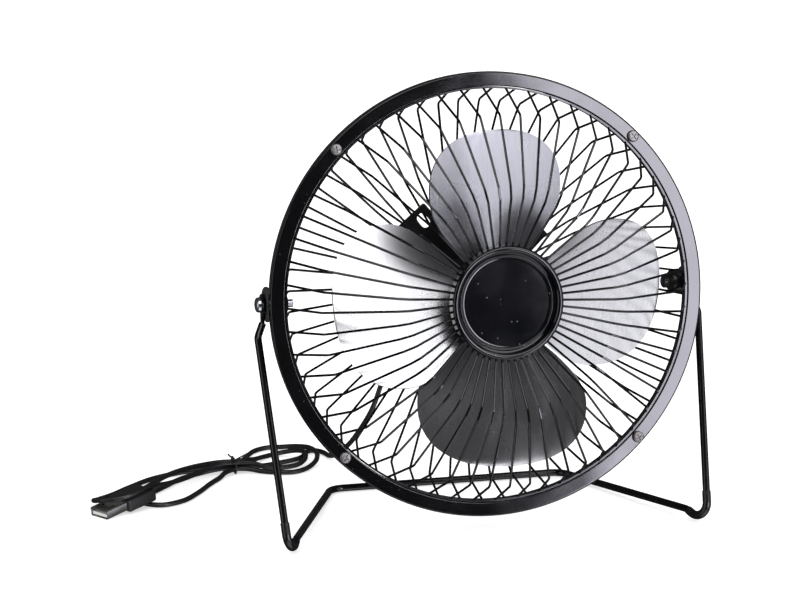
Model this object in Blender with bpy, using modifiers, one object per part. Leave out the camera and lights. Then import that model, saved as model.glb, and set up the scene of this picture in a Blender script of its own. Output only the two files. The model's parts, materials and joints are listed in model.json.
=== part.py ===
"""Desk fan: a round steel guard head that tilts in a bent-wire stand, with a USB lead.

World frame: metres, +Z up, the fan's front faces -Y, the floor is Z = 0.
Head frame: origin on the tilt axis, +X right, +Y up along the head, +Z out of the front.
"""

import math

import bmesh
import bpy
from mathutils import Matrix, Quaternion, Vector

# ---------------------------------------------------------------- clearances
GAP = 0.0003
MERGE = 0.00001

# ---------------------------------------------------------------- head and its pose
RING_FLOOR_CLEARANCE = 0.0064
TILT_DEG = 6.15
RING_FORWARD = 0.0137

# ---------------------------------------------------------------- rings
RING_OUTER_R = 0.107
RING_FACE_WIDTH = 0.0068
RING_DEPTH = 0.0055
RING_SHEET = 0.0009
REAR_RING_SHEET = 0.0011
RING_STEPS = 64
RIM_SCREW_ANGLES = (45, 135, 225, 315)
RIM_SCREW_HEAD_R = 0.0028
RIM_SCREW_HEAD_H = 0.0013
RIM_SCREW_SHANK_R = 0.0014
RIM_NUT_R = 0.0026
RIM_NUT_H = 0.0018
PIVOT_HEIGHT = RING_OUTER_R + RING_FLOOR_CLEARANCE

# ---------------------------------------------------------------- wire guards
WIRE_COUNT = 56
WIRE_R = 0.0006
FRONT_GUARD_PHASE = 0.05
REAR_GUARD_PHASE = 0.5
HOOP_WALL = 0.0009
HOOP_WELD_SHARE = 0.78
FRONT_GUARD_BULGE_R = 0.0525
FRONT_GUARD_BLADE_CLEARANCE = 0.0100
FRONT_GUARD_SHOULDER_INSET = 0.0122
FRONT_GUARD_SHOULDER_STEP = 0.0150
REAR_GUARD_FLAT_R = 0.0600
REAR_GUARD_FLAT_DEPTH = 0.0362
REAR_GUARD_SHOULDER_INSET = 0.0075
REAR_GUARD_SHOULDER_DEPTH = 0.0240
REAR_GUARD_HUB_DEPTH = 0.0380
REAR_HUB_RING_WIDTH = 0.0060
REAR_HUB_RING_THICKNESS = 0.0012

# ---------------------------------------------------------------- front badge
BADGE_R = 0.0271
BADGE_BEHIND_BULGE = 0.0082
BADGE_RIM_WIDTH = 0.0035
BADGE_RECESS = 0.0042
BADGE_SHEET = 0.0008
BADGE_SKIRT = 0.0050
BADGE_WALL_LENGTH = 0.0050
HUB_WELD_DROP = 0.0016
BADGE_STEPS = 36

# ---------------------------------------------------------------- impeller
BLADE_COUNT = 4
BLADE_TIP_CLEARANCE = 0.0198
BLADE_ROOT_R = 0.0130
BLADE_HALF_WIDTH = 0.0405
BLADE_ROOT_HALF_WIDTH = 0.0110
BLADE_TIP_ROUND = 0.0310
BLADE_SHEET = 0.0008
BLADE_ROOT_PITCH_DEG = 30.0
BLADE_TIP_PITCH_DEG = 20.0
BLADE_DISC_R = 0.0200

# ---------------------------------------------------------------- motor
MOTOR_R = 0.0160
MOTOR_LENGTH = 0.0360
MOTOR_WALL = 0.0012
MOTOR_NOSE_R = 0.0050
MOTOR_NOSE_LENGTH = 0.0030
SHAFT_R = 0.0015
ARMATURE_R = 0.0105
MAGNET_WALL = 0.0025
BOSS_LENGTH = 0.0101
BOSS_EDGE = 0.0015
BOSS_TO_MOTOR = 0.0008
RIVET_R = 0.0009
RIVET_HEAD_R = 0.0016
RIVET_HEAD_H = 0.0007
RIVET_DEPTH = 0.0050
COLLAR_WALL = 0.0006
COLLAR_LENGTH = 0.0025
SHAFT_PROUD = 0.0006

# ---------------------------------------------------------------- motor bracket
BRACKET_ARM_ANGLES = (130.0, 44.0, 261.0)
BRACKET_SLOT_OFFSETS = (-0.0052, -0.0052, 0.0052)
BRACKET_ARM_LENGTH = 0.0465
BRACKET_ARM_HALF_WIDTH = 0.0110
BRACKET_CORNER_R = 0.0010
BRACKET_HOLE_EDGE = 0.0014
BRACKET_SHEET = 0.0012
BRACKET_SLOT_R = 0.0400
BRACKET_SLOT_LENGTH = 0.0080
BRACKET_SLOT_WIDTH = 0.0050
BRACKET_BORE_R = 0.0060

# ---------------------------------------------------------------- rear housing and switch
HOUSING_R = 0.0235
HOUSING_LENGTH = 0.0220
HOUSING_WALL = 0.0016
HOUSING_SCREW_INSET = 0.0060
HOUSING_SCREW_ANGLES = (0, 180)
HOUSING_SCREW_R = 0.0013
HOUSING_SCREW_HEAD_R = 0.0026
HOUSING_SCREW_HEAD_H = 0.0012
SWITCH_WIDTH = 0.0130
SWITCH_HEIGHT = 0.0085
SWITCH_DEPTH = 0.0110
SWITCH_FLANGE = 0.0010
SWITCH_WALL = 0.0010
SWITCH_UP = 0.0070
ROCKER_TILT_DEG = 9.0
ROCKER_PROUD = 0.0012
ROCKER_PIN_Z_ABOVE = 0.0022
ROCKER_GAP = 0.0004

# ---------------------------------------------------------------- pivots
EYELET_R = 0.0052
EYELET_THICKNESS = 0.0015
EYELET_OUTSIDE_RING = 0.0006
PIVOT_WASHER_R = 0.0085
PIVOT_WASHER_THICKNESS = 0.0022
LUG_THICKNESS = 0.0012
LUG_R = 0.0070
PIVOT_SHANK_R = 0.0019
PIVOT_HEAD_R = 0.0037
PIVOT_HEAD_H = 0.0024
PIVOT_NUT_R = 0.0060
PIVOT_NUT_STRAIGHT = 0.0034
PIVOT_NUT_DOME = 0.0036
PIVOT_NUT_TIP_R = 0.0032
PIVOT_TIP_PROUD = 0.0027

# ---------------------------------------------------------------- stand
STAND_WIRE_R = 0.0018
STAND_FOOT_INSET = 0.0034
STAND_KNEE_OUTSET = 0.0030
STAND_KNEE_Y = -0.0030
STAND_KNEE_DROP = 0.0150
STAND_NECK_DROP = 0.0092
STAND_FOOT_Y = -0.0415
STAND_REAR_X = 0.0607
STAND_REAR_Y = 0.0595
STAND_BEND_R = 0.0090
STAND_FOOT_BEND_R = 0.0060
STAND_TOE_DROP = 0.0024
STAND_TOE_LENGTH = 0.0150
SLEEVE_WALL = 0.0003
SLEEVE_LEG_LENGTH = 0.0120
SLEEVE_BASE_LENGTH = 0.0100

# ---------------------------------------------------------------- lead
CORD_R = 0.0013
CORD_POINTS = 96
CORD_BEND_WEIGHT = 0.010
CORD_STRAIGHT_AT_RELIEF = 0.0035
CORD_STRAIGHT_AT_PLUG = 0.0040
RELIEF_LENGTH = 0.0120
RELIEF_BASE_R = 0.0032
RELIEF_TIP_R = 0.0020
RELIEF_X = -0.0120
RELIEF_Y = -0.0125
TIE_R = 0.00045
TIE_HALF_WIDTH = 0.0060
TIE_HALF_HEIGHT = 0.00345
TIE_TAIL_LENGTH = 0.0090
PLUG_BODY_LENGTH = 0.0185
PLUG_BODY_WIDTH = 0.0155
PLUG_BODY_THICKNESS = 0.0064
PLUG_SHELL_LENGTH = 0.0130
PLUG_SHELL_WIDTH = 0.0120
PLUG_SHELL_THICKNESS = 0.0045
PLUG_SHELL_WALL = 0.0004
PLUG_TONGUE_THICKNESS = 0.0016
PLUG_RELIEF_LENGTH = 0.0060
PLUG_RELIEF_SEAT = 0.0010
PLUG_RELIEF_BASE_R = 0.0026
PLUG_REAR = (-0.1545, 0.0627, 0.0065)
PLUG_HEADING_DEG = 213.0
PLUG_PITCH_DEG = 7.6

# Route of the hanging lead, after the strain relief, down to the floor behind the fan.
DROP_ROUTE = (
    (-0.0124, 0.0630, 0.0930),
    (-0.0148, 0.0678, 0.0875),
    (-0.0205, 0.0700, 0.0760),
    (-0.0301, 0.0694, 0.0567),
    (-0.0362, 0.0725, 0.0380),
    (-0.0420, 0.0880, 0.0190),
    (-0.0448, 0.1030, 0.0088),
    (-0.0465, 0.1130, 0.0036),
    (-0.0476, 0.1200, 0.0016),
)

# Route on the floor: five passes through the tie join two loops on each side.
FLOOR_ROUTE = (
    (-0.0487, 0.1262, 0.0014),
    (-0.0512, 0.1310, 0.0014),
    (-0.0556, 0.1318, 0.0014),
    (-0.0590, 0.1278, 0.0014),
    (-0.0610, 0.1223, 0.0014),
    (-0.0665, 0.1174, 0.0014),
    (-0.0750, 0.1139, 0.0014),
    (-0.0846, 0.1102, 0.0015),
    (-0.0930, 0.1083, 0.0024),
    (-0.1010, 0.1070, 0.00255),
    (-0.1090, 0.1068, 0.0024),
    (-0.1192, 0.1050, 0.0014),
    (-0.1310, 0.0970, 0.0014),
    (-0.1410, 0.0860, 0.0014),
    (-0.1490, 0.0770, 0.0014),
    (-0.1560, 0.0705, 0.0014),
    (-0.1580, 0.0640, 0.0014),
    (-0.1540, 0.0575, 0.0014),
    (-0.1466, 0.0545, 0.0014),
    (-0.1355, 0.0600, 0.0014),
    (-0.1260, 0.0719, 0.0014),
    (-0.1180, 0.0845, 0.0014),
    (-0.1110, 0.0940, 0.0015),
    (-0.1070, 0.0997, 0.0023),
    (-0.1010, 0.1039, 0.00255),
    (-0.0945, 0.1036, 0.0023),
    (-0.0875, 0.1005, 0.0014),
    (-0.0796, 0.0965, 0.0014),
    (-0.0710, 0.0955, 0.0014),
    (-0.0627, 0.1010, 0.0017),
    (-0.0565, 0.1100, 0.0030),
    (-0.0548, 0.1185, 0.0045),
    (-0.0568, 0.1275, 0.0046),
    (-0.0618, 0.1370, 0.0030),
    (-0.0685, 0.1430, 0.0014),
    (-0.0760, 0.1435, 0.0014),
    (-0.0840, 0.1385, 0.0014),
    (-0.0905, 0.1280, 0.0014),
    (-0.0958, 0.1158, 0.0023),
    (-0.1010, 0.1101, 0.00255),
    (-0.1085, 0.1109, 0.0023),
    (-0.1200, 0.1105, 0.0014),
    (-0.1300, 0.1085, 0.0014),
    (-0.1450, 0.1010, 0.0014),
    (-0.1580, 0.0895, 0.0014),
    (-0.1690, 0.0780, 0.0015),
    (-0.1780, 0.0675, 0.0027),
    (-0.1815, 0.0580, 0.0052),
    (-0.1780, 0.0505, 0.0074),
    (-0.1710, 0.0475, 0.0085),
    (-0.1640, 0.0487, 0.0096),
    (-0.1560, 0.0545, 0.0110),
    (-0.1464, 0.0675, 0.0110),
    (-0.1375, 0.0836, 0.0088),
    (-0.1287, 0.0960, 0.0069),
    (-0.1190, 0.1040, 0.0059),
    (-0.1090, 0.1086, 0.0054),
    (-0.1010, 0.1086, 0.00535),
    (-0.0940, 0.1108, 0.0050),
    (-0.0880, 0.1180, 0.0030),
    (-0.0800, 0.1275, 0.0014),
    (-0.0706, 0.1310, 0.0018),
    (-0.0637, 0.1262, 0.0038),
    (-0.0607, 0.1195, 0.0045),
    (-0.0622, 0.1125, 0.0028),
    (-0.0670, 0.1080, 0.0015),
    (-0.0750, 0.1050, 0.0014),
    (-0.0840, 0.1042, 0.0022),
    (-0.0920, 0.1052, 0.0049),
    (-0.1010, 0.1054, 0.00535),
    (-0.1100, 0.1039, 0.0052),
    (-0.1210, 0.0965, 0.0044),
    (-0.1310, 0.0860, 0.0048),
    (-0.1410, 0.0738, 0.0066),
)
TIE_PLACE = (-0.1010, 0.1070, 0.00395)


# ---------------------------------------------------------------- shared tools
def material(name, colour, roughness, metallic):
    made = bpy.data.materials.new(name)
    made.use_nodes = True
    shader = made.node_tree.nodes["Principled BSDF"]
    shader.inputs["Base Color"].default_value = (*colour, 1.0)
    shader.inputs["Roughness"].default_value = roughness
    shader.inputs["Metallic"].default_value = metallic
    made.diffuse_color = (*colour, 1.0)
    return made


def place(name, data, finish, parent=None, location=(0, 0, 0), rotation=(0, 0, 0), collection=None):
    """Make one named object from mesh or curve data."""
    made = bpy.data.objects.new(name, data)
    (collection or PARTS).objects.link(made)
    if finish and not data.materials:
        data.materials.append(finish)
    made.parent = parent
    made.location = location
    made.rotation_euler = rotation
    return made


def mesh_of(source):
    """The evaluated mesh of an object, as new data."""
    bpy.context.view_layer.update()
    graph = bpy.context.evaluated_depsgraph_get()
    return bpy.data.meshes.new_from_object(source.evaluated_get(graph))


def weld(mesh):
    work = bmesh.new()
    work.from_mesh(mesh)
    bmesh.ops.remove_doubles(work, verts=work.verts, dist=MERGE)
    bmesh.ops.recalc_face_normals(work, faces=work.faces)
    work.to_mesh(mesh)
    work.free()
    return mesh


def lathe_mesh(name, profile, steps):
    """Turn an (r, z) profile about Z; it runs top to bottom down its outer side."""
    closed = profile[0][0] > 0 or profile[-1][0] > 0
    mesh = bpy.data.meshes.new(name)
    points = [(r, 0, z) for r, z in profile]
    edges = [(i, i + 1) for i in range(len(points) - 1)]
    if closed:
        edges.append((len(points) - 1, 0))
    mesh.from_pydata(points, edges, [])
    carrier = bpy.data.objects.new(name, mesh)
    PARTS.objects.link(carrier)
    screw = carrier.modifiers.new("turn", "SCREW")
    screw.steps = steps
    screw.render_steps = steps
    screw.use_merge_vertices = True
    screw.merge_threshold = MERGE
    screw.use_smooth_shade = False
    turned = mesh_of(carrier)
    bpy.data.objects.remove(carrier)
    bpy.data.meshes.remove(mesh)
    turned.name = name
    return turned


def band_mesh(name, outer, wall, low, high, steps):
    """A plain hoop: a wall of the given thickness between two heights."""
    inner = outer - wall
    return lathe_mesh(name, [(outer, high), (outer, low), (inner, low), (inner, high)], steps)


def tube_mesh(name, runs, radius, resolution, cyclic=False):
    """Round wire along lists of points, as one welded mesh."""
    curve = bpy.data.curves.new(name, "CURVE")
    curve.dimensions = "3D"
    curve.bevel_depth = radius
    curve.bevel_resolution = resolution
    curve.use_fill_caps = True
    for run in runs:
        spline = curve.splines.new("POLY")
        spline.points.add(len(run) - 1)
        for point, at in zip(spline.points, run):
            point.co = (*at, 1)
        spline.use_cyclic_u = cyclic
    carrier = bpy.data.objects.new(name, curve)
    PARTS.objects.link(carrier)
    mesh = weld(mesh_of(carrier))
    bpy.data.objects.remove(carrier)
    bpy.data.curves.remove(curve)
    mesh.name = name
    return mesh


def plate_mesh(name, outline, thickness, holes=()):
    """Flat sheet in XY, centred on Z = 0, with its holes as further outlines."""
    curve = bpy.data.curves.new(name, "CURVE")
    curve.dimensions = "2D"
    curve.fill_mode = "BOTH"
    curve.extrude = thickness / 2
    for loop in (outline, *holes):
        spline = curve.splines.new("POLY")
        spline.points.add(len(loop) - 1)
        for point, at in zip(spline.points, loop):
            point.co = (at[0], at[1], 0, 1)
        spline.use_cyclic_u = True
    carrier = bpy.data.objects.new(name, curve)
    PARTS.objects.link(carrier)
    mesh = weld(mesh_of(carrier))
    bpy.data.objects.remove(carrier)
    bpy.data.curves.remove(curve)
    mesh.name = name
    return mesh


def box_mesh(name, size, centre=(0, 0, 0)):
    work = bmesh.new()
    bmesh.ops.create_cube(work, size=1.0)
    bmesh.ops.scale(work, vec=size, verts=work.verts)
    bmesh.ops.translate(work, vec=centre, verts=work.verts)
    mesh = bpy.data.meshes.new(name)
    work.to_mesh(mesh)
    work.free()
    return mesh


def cylinder_mesh(name, radius, low, high, sides=24):
    work = bmesh.new()
    bmesh.ops.create_cone(
        work, cap_ends=True, segments=sides, radius1=radius, radius2=radius, depth=high - low
    )
    bmesh.ops.translate(work, vec=(0, 0, (low + high) / 2), verts=work.verts)
    mesh = bpy.data.meshes.new(name)
    work.to_mesh(mesh)
    work.free()
    return mesh


def moved(mesh, matrix):
    mesh.transform(matrix)
    return mesh


def combine(target, mesh, operation="UNION"):
    """Join or cut with a hidden tool object that stays as a live modifier."""
    tool = bpy.data.objects.new(target.name + "_tool", mesh)
    TOOLS.objects.link(tool)
    tool.parent = target.parent
    tool.location = target.location
    tool.rotation_euler = target.rotation_euler
    tool.hide_render = True
    tool.display_type = "WIRE"
    step = target.modifiers.new(operation.lower(), "BOOLEAN")
    step.operation = operation
    step.solver = "EXACT"
    step.object = tool
    return target


def arc(centre, radius, start_deg, end_deg, steps):
    turns = [math.radians(start_deg + (end_deg - start_deg) * i / steps) for i in range(steps + 1)]
    return [(centre[0] + radius * math.cos(t), centre[1] + radius * math.sin(t)) for t in turns]


def rounded_path(points, radius, steps):
    """Replace each inner corner of a 3-D polyline with an arc of the given radius."""
    points = [Vector(p) for p in points]
    path = [points[0]]
    for before, corner, after in zip(points, points[1:], points[2:]):
        into = (before - corner).normalized()
        out = (after - corner).normalized()
        half = into.angle(out) / 2
        reach = radius / math.tan(half)
        centre = corner + (into + out).normalized() * (radius / math.sin(half))
        start = corner + into * reach - centre
        end = corner + out * reach - centre
        axis = start.cross(end)
        turn = start.angle(end)
        for i in range(steps + 1):
            path.append(centre + Quaternion(axis, turn * i / steps) @ start)
    path.append(points[-1])
    return path


def smooth_route(points, count):
    """Points on a Catmull-Rom curve through the route, closer together where it bends."""
    points = [Vector(p) for p in points]
    ends = [points[0] * 2 - points[1], *points, points[-1] * 2 - points[-2]]
    fine = [points[0]]
    samples = 12
    for a, b, c, d in zip(ends, ends[1:], ends[2:], ends[3:]):
        for i in range(1, samples + 1):
            t = i / samples
            fine.append(
                0.5 * (2 * b + (c - a) * t + (2 * a - 5 * b + 4 * c - d) * t ** 2
                       + (3 * b - a - 3 * c + d) * t ** 3)
            )
    spans = [q - p for p, q in zip(fine, fine[1:])]
    turns = [0.0, *(p.angle(q) for p, q in zip(spans, spans[1:]))]
    measure = [span.length + turn * CORD_BEND_WEIGHT for span, turn in zip(spans, turns)]
    share = sum(measure) / (count - 1)
    chosen = [fine[0]]
    passed = 0.0
    for start, span, part in zip(fine, spans, measure):
        while len(chosen) < count - 1 and passed + part >= share * len(chosen):
            chosen.append(start + span * ((share * len(chosen) - passed) / part))
        passed += part
    chosen.append(fine[-1])
    return chosen


def turn_about_z(angle_deg):
    return Matrix.Rotation(math.radians(angle_deg), 4, "Z")


# ---------------------------------------------------------------- rings
RING_INNER_R = RING_OUTER_R - RING_FACE_WIDTH
RING_FRONT = RING_FORWARD + RING_DEPTH / 2
RING_BACK = RING_FORWARD - RING_DEPTH / 2
HOOP_R = RING_INNER_R - GAP
RING_SCREW_R = (RING_OUTER_R + RING_INNER_R) / 2


def front_ring_profile():
    face_back = RING_FRONT - RING_SHEET
    flange_inner = RING_OUTER_R - RING_SHEET
    lip = RING_SHEET / 2
    return [
        (RING_INNER_R, RING_FRONT),
        (RING_OUTER_R - lip, RING_FRONT),
        (RING_OUTER_R, RING_FRONT - lip),
        (RING_OUTER_R, RING_BACK),
        (flange_inner, RING_BACK),
        (flange_inner, face_back),
        (RING_INNER_R, face_back),
    ]


def screw_holes(radius, low, high):
    """One mesh of four round cutters, at the rim screws."""
    work = bmesh.new()
    for angle in RIM_SCREW_ANGLES:
        at = turn_about_z(angle) @ Matrix.Translation((RING_SCREW_R, 0, (low + high) / 2))
        bmesh.ops.create_cone(
            work, cap_ends=True, segments=12, radius1=radius, radius2=radius, depth=high - low, matrix=at
        )
    mesh = bpy.data.meshes.new("rim_screw_holes")
    work.to_mesh(mesh)
    work.free()
    return mesh


def make_rings():
    ring = place("front_ring", lathe_mesh("front_ring", front_ring_profile(), RING_STEPS), ENAMEL, HEAD)
    hole_r = RIM_SCREW_SHANK_R + GAP
    combine(ring, screw_holes(hole_r, RING_FRONT - 3 * RING_SHEET, RING_FRONT + RING_SHEET), "DIFFERENCE")
    back = RING_BACK
    front = back + REAR_RING_SHEET
    outer = RING_OUTER_R - RING_SHEET - GAP
    profile = [(RING_INNER_R, front), (outer, front), (outer, back), (RING_INNER_R, back)]
    rear = place("rear_ring", lathe_mesh("rear_ring", profile, RING_STEPS), ENAMEL, HEAD)
    combine(rear, screw_holes(hole_r, back - REAR_RING_SHEET, front + REAR_RING_SHEET), "DIFFERENCE")


def make_rim_fasteners():
    """Four pan-head screws clamp the rings; each has its nut behind the rear ring."""
    head_top = RING_FRONT + GAP + RIM_SCREW_HEAD_H
    tip = RING_BACK - GAP - RIM_NUT_H - GAP
    profile = [
        (0, head_top),
        (RIM_SCREW_HEAD_R * 0.72, head_top),
        (RIM_SCREW_HEAD_R, RING_FRONT + GAP + RIM_SCREW_HEAD_H * 0.4),
        (RIM_SCREW_HEAD_R, RING_FRONT + GAP),
        (RIM_SCREW_SHANK_R, RING_FRONT + GAP),
        (RIM_SCREW_SHANK_R, tip),
        (0, tip),
    ]
    screw = lathe_mesh("rim_screw", profile, 12)
    nut_low = RING_BACK - GAP - RIM_NUT_H
    nut_high = RING_BACK - GAP
    bore = RIM_SCREW_SHANK_R + GAP
    nut = lathe_mesh(
        "rim_nut", [(bore, nut_high), (RIM_NUT_R, nut_high), (RIM_NUT_R, nut_low), (bore, nut_low)], 6
    )
    for number, angle in enumerate(RIM_SCREW_ANGLES, 1):
        at = turn_about_z(angle) @ Vector((RING_SCREW_R, 0, 0))
        place(f"rim_screw_{number}", screw, ZINC, HEAD, at)
        place(f"rim_nut_{number}", nut, ZINC, HEAD, at)


# ---------------------------------------------------------------- places along the axis
REAR_HUB_Z = RING_FORWARD - REAR_GUARD_HUB_DEPTH
REAR_HUB_INNER_R = HOUSING_R + GAP
REAR_HUB_OUTER_R = REAR_HUB_INNER_R + REAR_HUB_RING_WIDTH
REAR_HUB_MID_R = (REAR_HUB_INNER_R + REAR_HUB_OUTER_R) / 2
REAR_WIRE_SLOPE = (REAR_GUARD_HUB_DEPTH - REAR_GUARD_FLAT_DEPTH) / (REAR_GUARD_FLAT_R - REAR_HUB_MID_R)
BRACKET_REACH = math.hypot(BRACKET_ARM_LENGTH, BRACKET_ARM_HALF_WIDTH)
WIRE_AT_BRACKET_Z = RING_FORWARD - REAR_GUARD_FLAT_DEPTH - REAR_WIRE_SLOPE * (REAR_GUARD_FLAT_R - BRACKET_REACH)
BRACKET_BACK = WIRE_AT_BRACKET_Z + WIRE_R + GAP
BRACKET_FRONT = BRACKET_BACK + BRACKET_SHEET
MOTOR_BACK = BRACKET_FRONT + GAP
MOTOR_FRONT = MOTOR_BACK + MOTOR_LENGTH
NOSE_FRONT = MOTOR_FRONT + MOTOR_NOSE_LENGTH
BOSS_BACK = NOSE_FRONT + BOSS_TO_MOTOR
BOSS_FRONT = BOSS_BACK + BOSS_LENGTH
IMPELLER_Z = BOSS_FRONT + GAP + BLADE_SHEET
CAP_FRONT = MOTOR_BACK + MOTOR_WALL
SHAFT_BORE_R = SHAFT_R + GAP
RIVET_BORE_R = RIVET_R + GAP
RIVET_PITCH_R = SHAFT_BORE_R + COLLAR_WALL + GAP + RIVET_HEAD_R
BOSS_R = RIVET_PITCH_R + RIVET_BORE_R + BOSS_EDGE
BLADE_TIP_R = RING_INNER_R - BLADE_TIP_CLEARANCE
BLADE_WIDEST_R = BLADE_TIP_R - BLADE_TIP_ROUND
HOUSING_SCREW_PITCH_R = HOUSING_R - HOUSING_SCREW_INSET
BRACKET_HUB_R = HOUSING_SCREW_PITCH_R + HOUSING_SCREW_R + GAP + BRACKET_HOLE_EDGE


def blade_pitch(radius):
    """The blade's pitch in radians, which falls off from root to tip."""
    share = (radius - BLADE_ROOT_R) / (BLADE_TIP_R - BLADE_ROOT_R)
    return math.radians(BLADE_ROOT_PITCH_DEG + (BLADE_TIP_PITCH_DEG - BLADE_ROOT_PITCH_DEG) * share)


BLADE_RISE = BLADE_HALF_WIDTH * math.sin(blade_pitch(BLADE_WIDEST_R))


# ---------------------------------------------------------------- guards
FRONT_BULGE_Z = IMPELLER_Z + BLADE_RISE + FRONT_GUARD_BLADE_CLEARANCE
BADGE_FRONT = FRONT_BULGE_Z - BADGE_BEHIND_BULGE
WALL_FRONT = BADGE_FRONT - BADGE_SHEET * 2
WALL_BACK = WALL_FRONT - BADGE_WALL_LENGTH
FRONT_HUB_Z = WALL_FRONT - HUB_WELD_DROP
HOOP_MID = RING_FORWARD
HOOP_WELD_R = HOOP_R - HOOP_WELD_SHARE * HOOP_WALL


def fan_of_wires(name, profile, phase):
    """Guard wires: one bent wire turned to every place round the guard."""
    runs = []
    for i in range(WIRE_COUNT):
        turn = turn_about_z(360 * (i + phase) / WIRE_COUNT)
        runs.append([turn @ Vector((r, 0, z)) for r, z in profile])
    return tube_mesh(name, runs, WIRE_R, 0)


def make_front_guard():
    hoop_low = HOOP_MID + GAP / 2
    hoop_high = RING_FRONT - GAP
    wires = fan_of_wires(
        "front_guard",
        [
            (BADGE_R - BADGE_SHEET / 2, FRONT_HUB_Z),
            (FRONT_GUARD_BULGE_R, FRONT_BULGE_Z),
            (RING_INNER_R - FRONT_GUARD_SHOULDER_INSET, FRONT_BULGE_Z - FRONT_GUARD_SHOULDER_STEP),
            (HOOP_WELD_R, (hoop_low + hoop_high) / 2),
        ],
        FRONT_GUARD_PHASE,
    )
    guard = place("front_guard", wires, ENAMEL, HEAD)
    combine(guard, band_mesh("front_hoop", HOOP_R, HOOP_WALL, hoop_low, hoop_high, RING_STEPS))
    combine(guard, band_mesh("front_hub_wall", BADGE_R, BADGE_SHEET, WALL_BACK, WALL_FRONT, BADGE_STEPS))


def make_rear_guard():
    hoop_low = RING_BACK + GAP
    hoop_high = HOOP_MID - GAP / 2
    wires = fan_of_wires(
        "rear_guard",
        [
            ((REAR_HUB_INNER_R + REAR_HUB_OUTER_R) / 2, REAR_HUB_Z),
            (REAR_GUARD_FLAT_R, RING_FORWARD - REAR_GUARD_FLAT_DEPTH),
            (RING_INNER_R - REAR_GUARD_SHOULDER_INSET, RING_FORWARD - REAR_GUARD_SHOULDER_DEPTH),
            (HOOP_WELD_R, (hoop_low + hoop_high) / 2),
        ],
        REAR_GUARD_PHASE,
    )
    guard = place("rear_guard", wires, ENAMEL, HEAD)
    combine(guard, band_mesh("rear_hoop", HOOP_R, HOOP_WALL, hoop_low, hoop_high, RING_STEPS))
    top = REAR_HUB_Z + REAR_HUB_RING_THICKNESS / 2
    bottom = REAR_HUB_Z - REAR_HUB_RING_THICKNESS / 2
    plate = band_mesh("rear_hub_ring", REAR_HUB_OUTER_R, REAR_HUB_RING_WIDTH, bottom, top, BADGE_STEPS)
    combine(guard, plate)


def make_badge():
    """Pressed cap on the guard's hub wall: rolled rim, step down, flat disc, skirt inside."""
    rim_r = BADGE_R - BADGE_RIM_WIDTH
    skirt_r = BADGE_R - BADGE_SHEET - GAP
    disc_front = BADGE_FRONT - BADGE_RECESS
    under_rim = WALL_FRONT + GAP
    skirt_back = WALL_FRONT - BADGE_SKIRT
    profile = [
        (0, disc_front),
        (rim_r - BADGE_SHEET, disc_front),
        (rim_r, disc_front + BADGE_SHEET),
        (rim_r, BADGE_FRONT - BADGE_SHEET),
        (rim_r + BADGE_SHEET, BADGE_FRONT),
        (BADGE_R - BADGE_SHEET, BADGE_FRONT),
        (BADGE_R, BADGE_FRONT - BADGE_SHEET),
        (BADGE_R, under_rim),
        (skirt_r, under_rim),
        (skirt_r, skirt_back),
        (skirt_r - BADGE_SHEET, skirt_back),
        (skirt_r - BADGE_SHEET, disc_front - BADGE_SHEET),
        (0, disc_front - BADGE_SHEET),
    ]
    place("badge_cap", lathe_mesh("badge_cap", profile, BADGE_STEPS), ENAMEL, HEAD)


# ---------------------------------------------------------------- impeller
BLADE_TIP_POWER = 2.3
BLADE_CAMBER = 0.08
BLADE_ROWS_IN = 5
BLADE_RUNS_OUT = (0.3, 0.55, 0.75, 0.88, 0.96, 0.992)
BLADE_COLUMNS = 4


def blade_half_width(radius):
    """Half the petal's width: a smooth flare from the root, then a rounded tip."""
    if radius < BLADE_WIDEST_R:
        rise = math.sin(math.pi / 2 * (radius - BLADE_ROOT_R) / (BLADE_WIDEST_R - BLADE_ROOT_R))
        return BLADE_ROOT_HALF_WIDTH + (BLADE_HALF_WIDTH - BLADE_ROOT_HALF_WIDTH) * rise
    run = (radius - BLADE_WIDEST_R) / (BLADE_TIP_R - BLADE_WIDEST_R)
    return BLADE_HALF_WIDTH * max(0.0, 1 - run ** BLADE_TIP_POWER) ** (1 / BLADE_TIP_POWER)


def blade_point(radius, across):
    """A place on the blade, with its pitch and a little camber that grows toward the tip."""
    share = (radius - BLADE_ROOT_R) / (BLADE_TIP_R - BLADE_ROOT_R)
    pitch = blade_pitch(radius)
    offset = across * blade_half_width(radius)
    camber = BLADE_CAMBER * blade_half_width(radius) * (1 - across ** 2) * share
    return Vector((radius, offset * math.cos(pitch), offset * math.sin(pitch) + camber))


def blade_mesh():
    inner = BLADE_WIDEST_R - BLADE_ROOT_R
    outer = BLADE_TIP_R - BLADE_WIDEST_R
    radii = [BLADE_ROOT_R + inner * i / BLADE_ROWS_IN for i in range(BLADE_ROWS_IN + 1)]
    radii += [BLADE_WIDEST_R + outer * run for run in BLADE_RUNS_OUT]
    steps = [2 * c / BLADE_COLUMNS - 1 for c in range(BLADE_COLUMNS + 1)]
    work = bmesh.new()
    grid = [[work.verts.new(blade_point(r, across)) for across in steps] for r in radii]
    for low, high in zip(grid, grid[1:]):
        for c in range(BLADE_COLUMNS):
            work.faces.new((low[c], high[c], high[c + 1], low[c + 1]))
    mesh = bpy.data.meshes.new("blade")
    work.to_mesh(mesh)
    work.free()
    carrier = bpy.data.objects.new("blade", mesh)
    PARTS.objects.link(carrier)
    sheet = carrier.modifiers.new("sheet", "SOLIDIFY")
    sheet.thickness = BLADE_SHEET
    sheet.offset = 0
    solid = mesh_of(carrier)
    bpy.data.objects.remove(carrier)
    return solid


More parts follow.
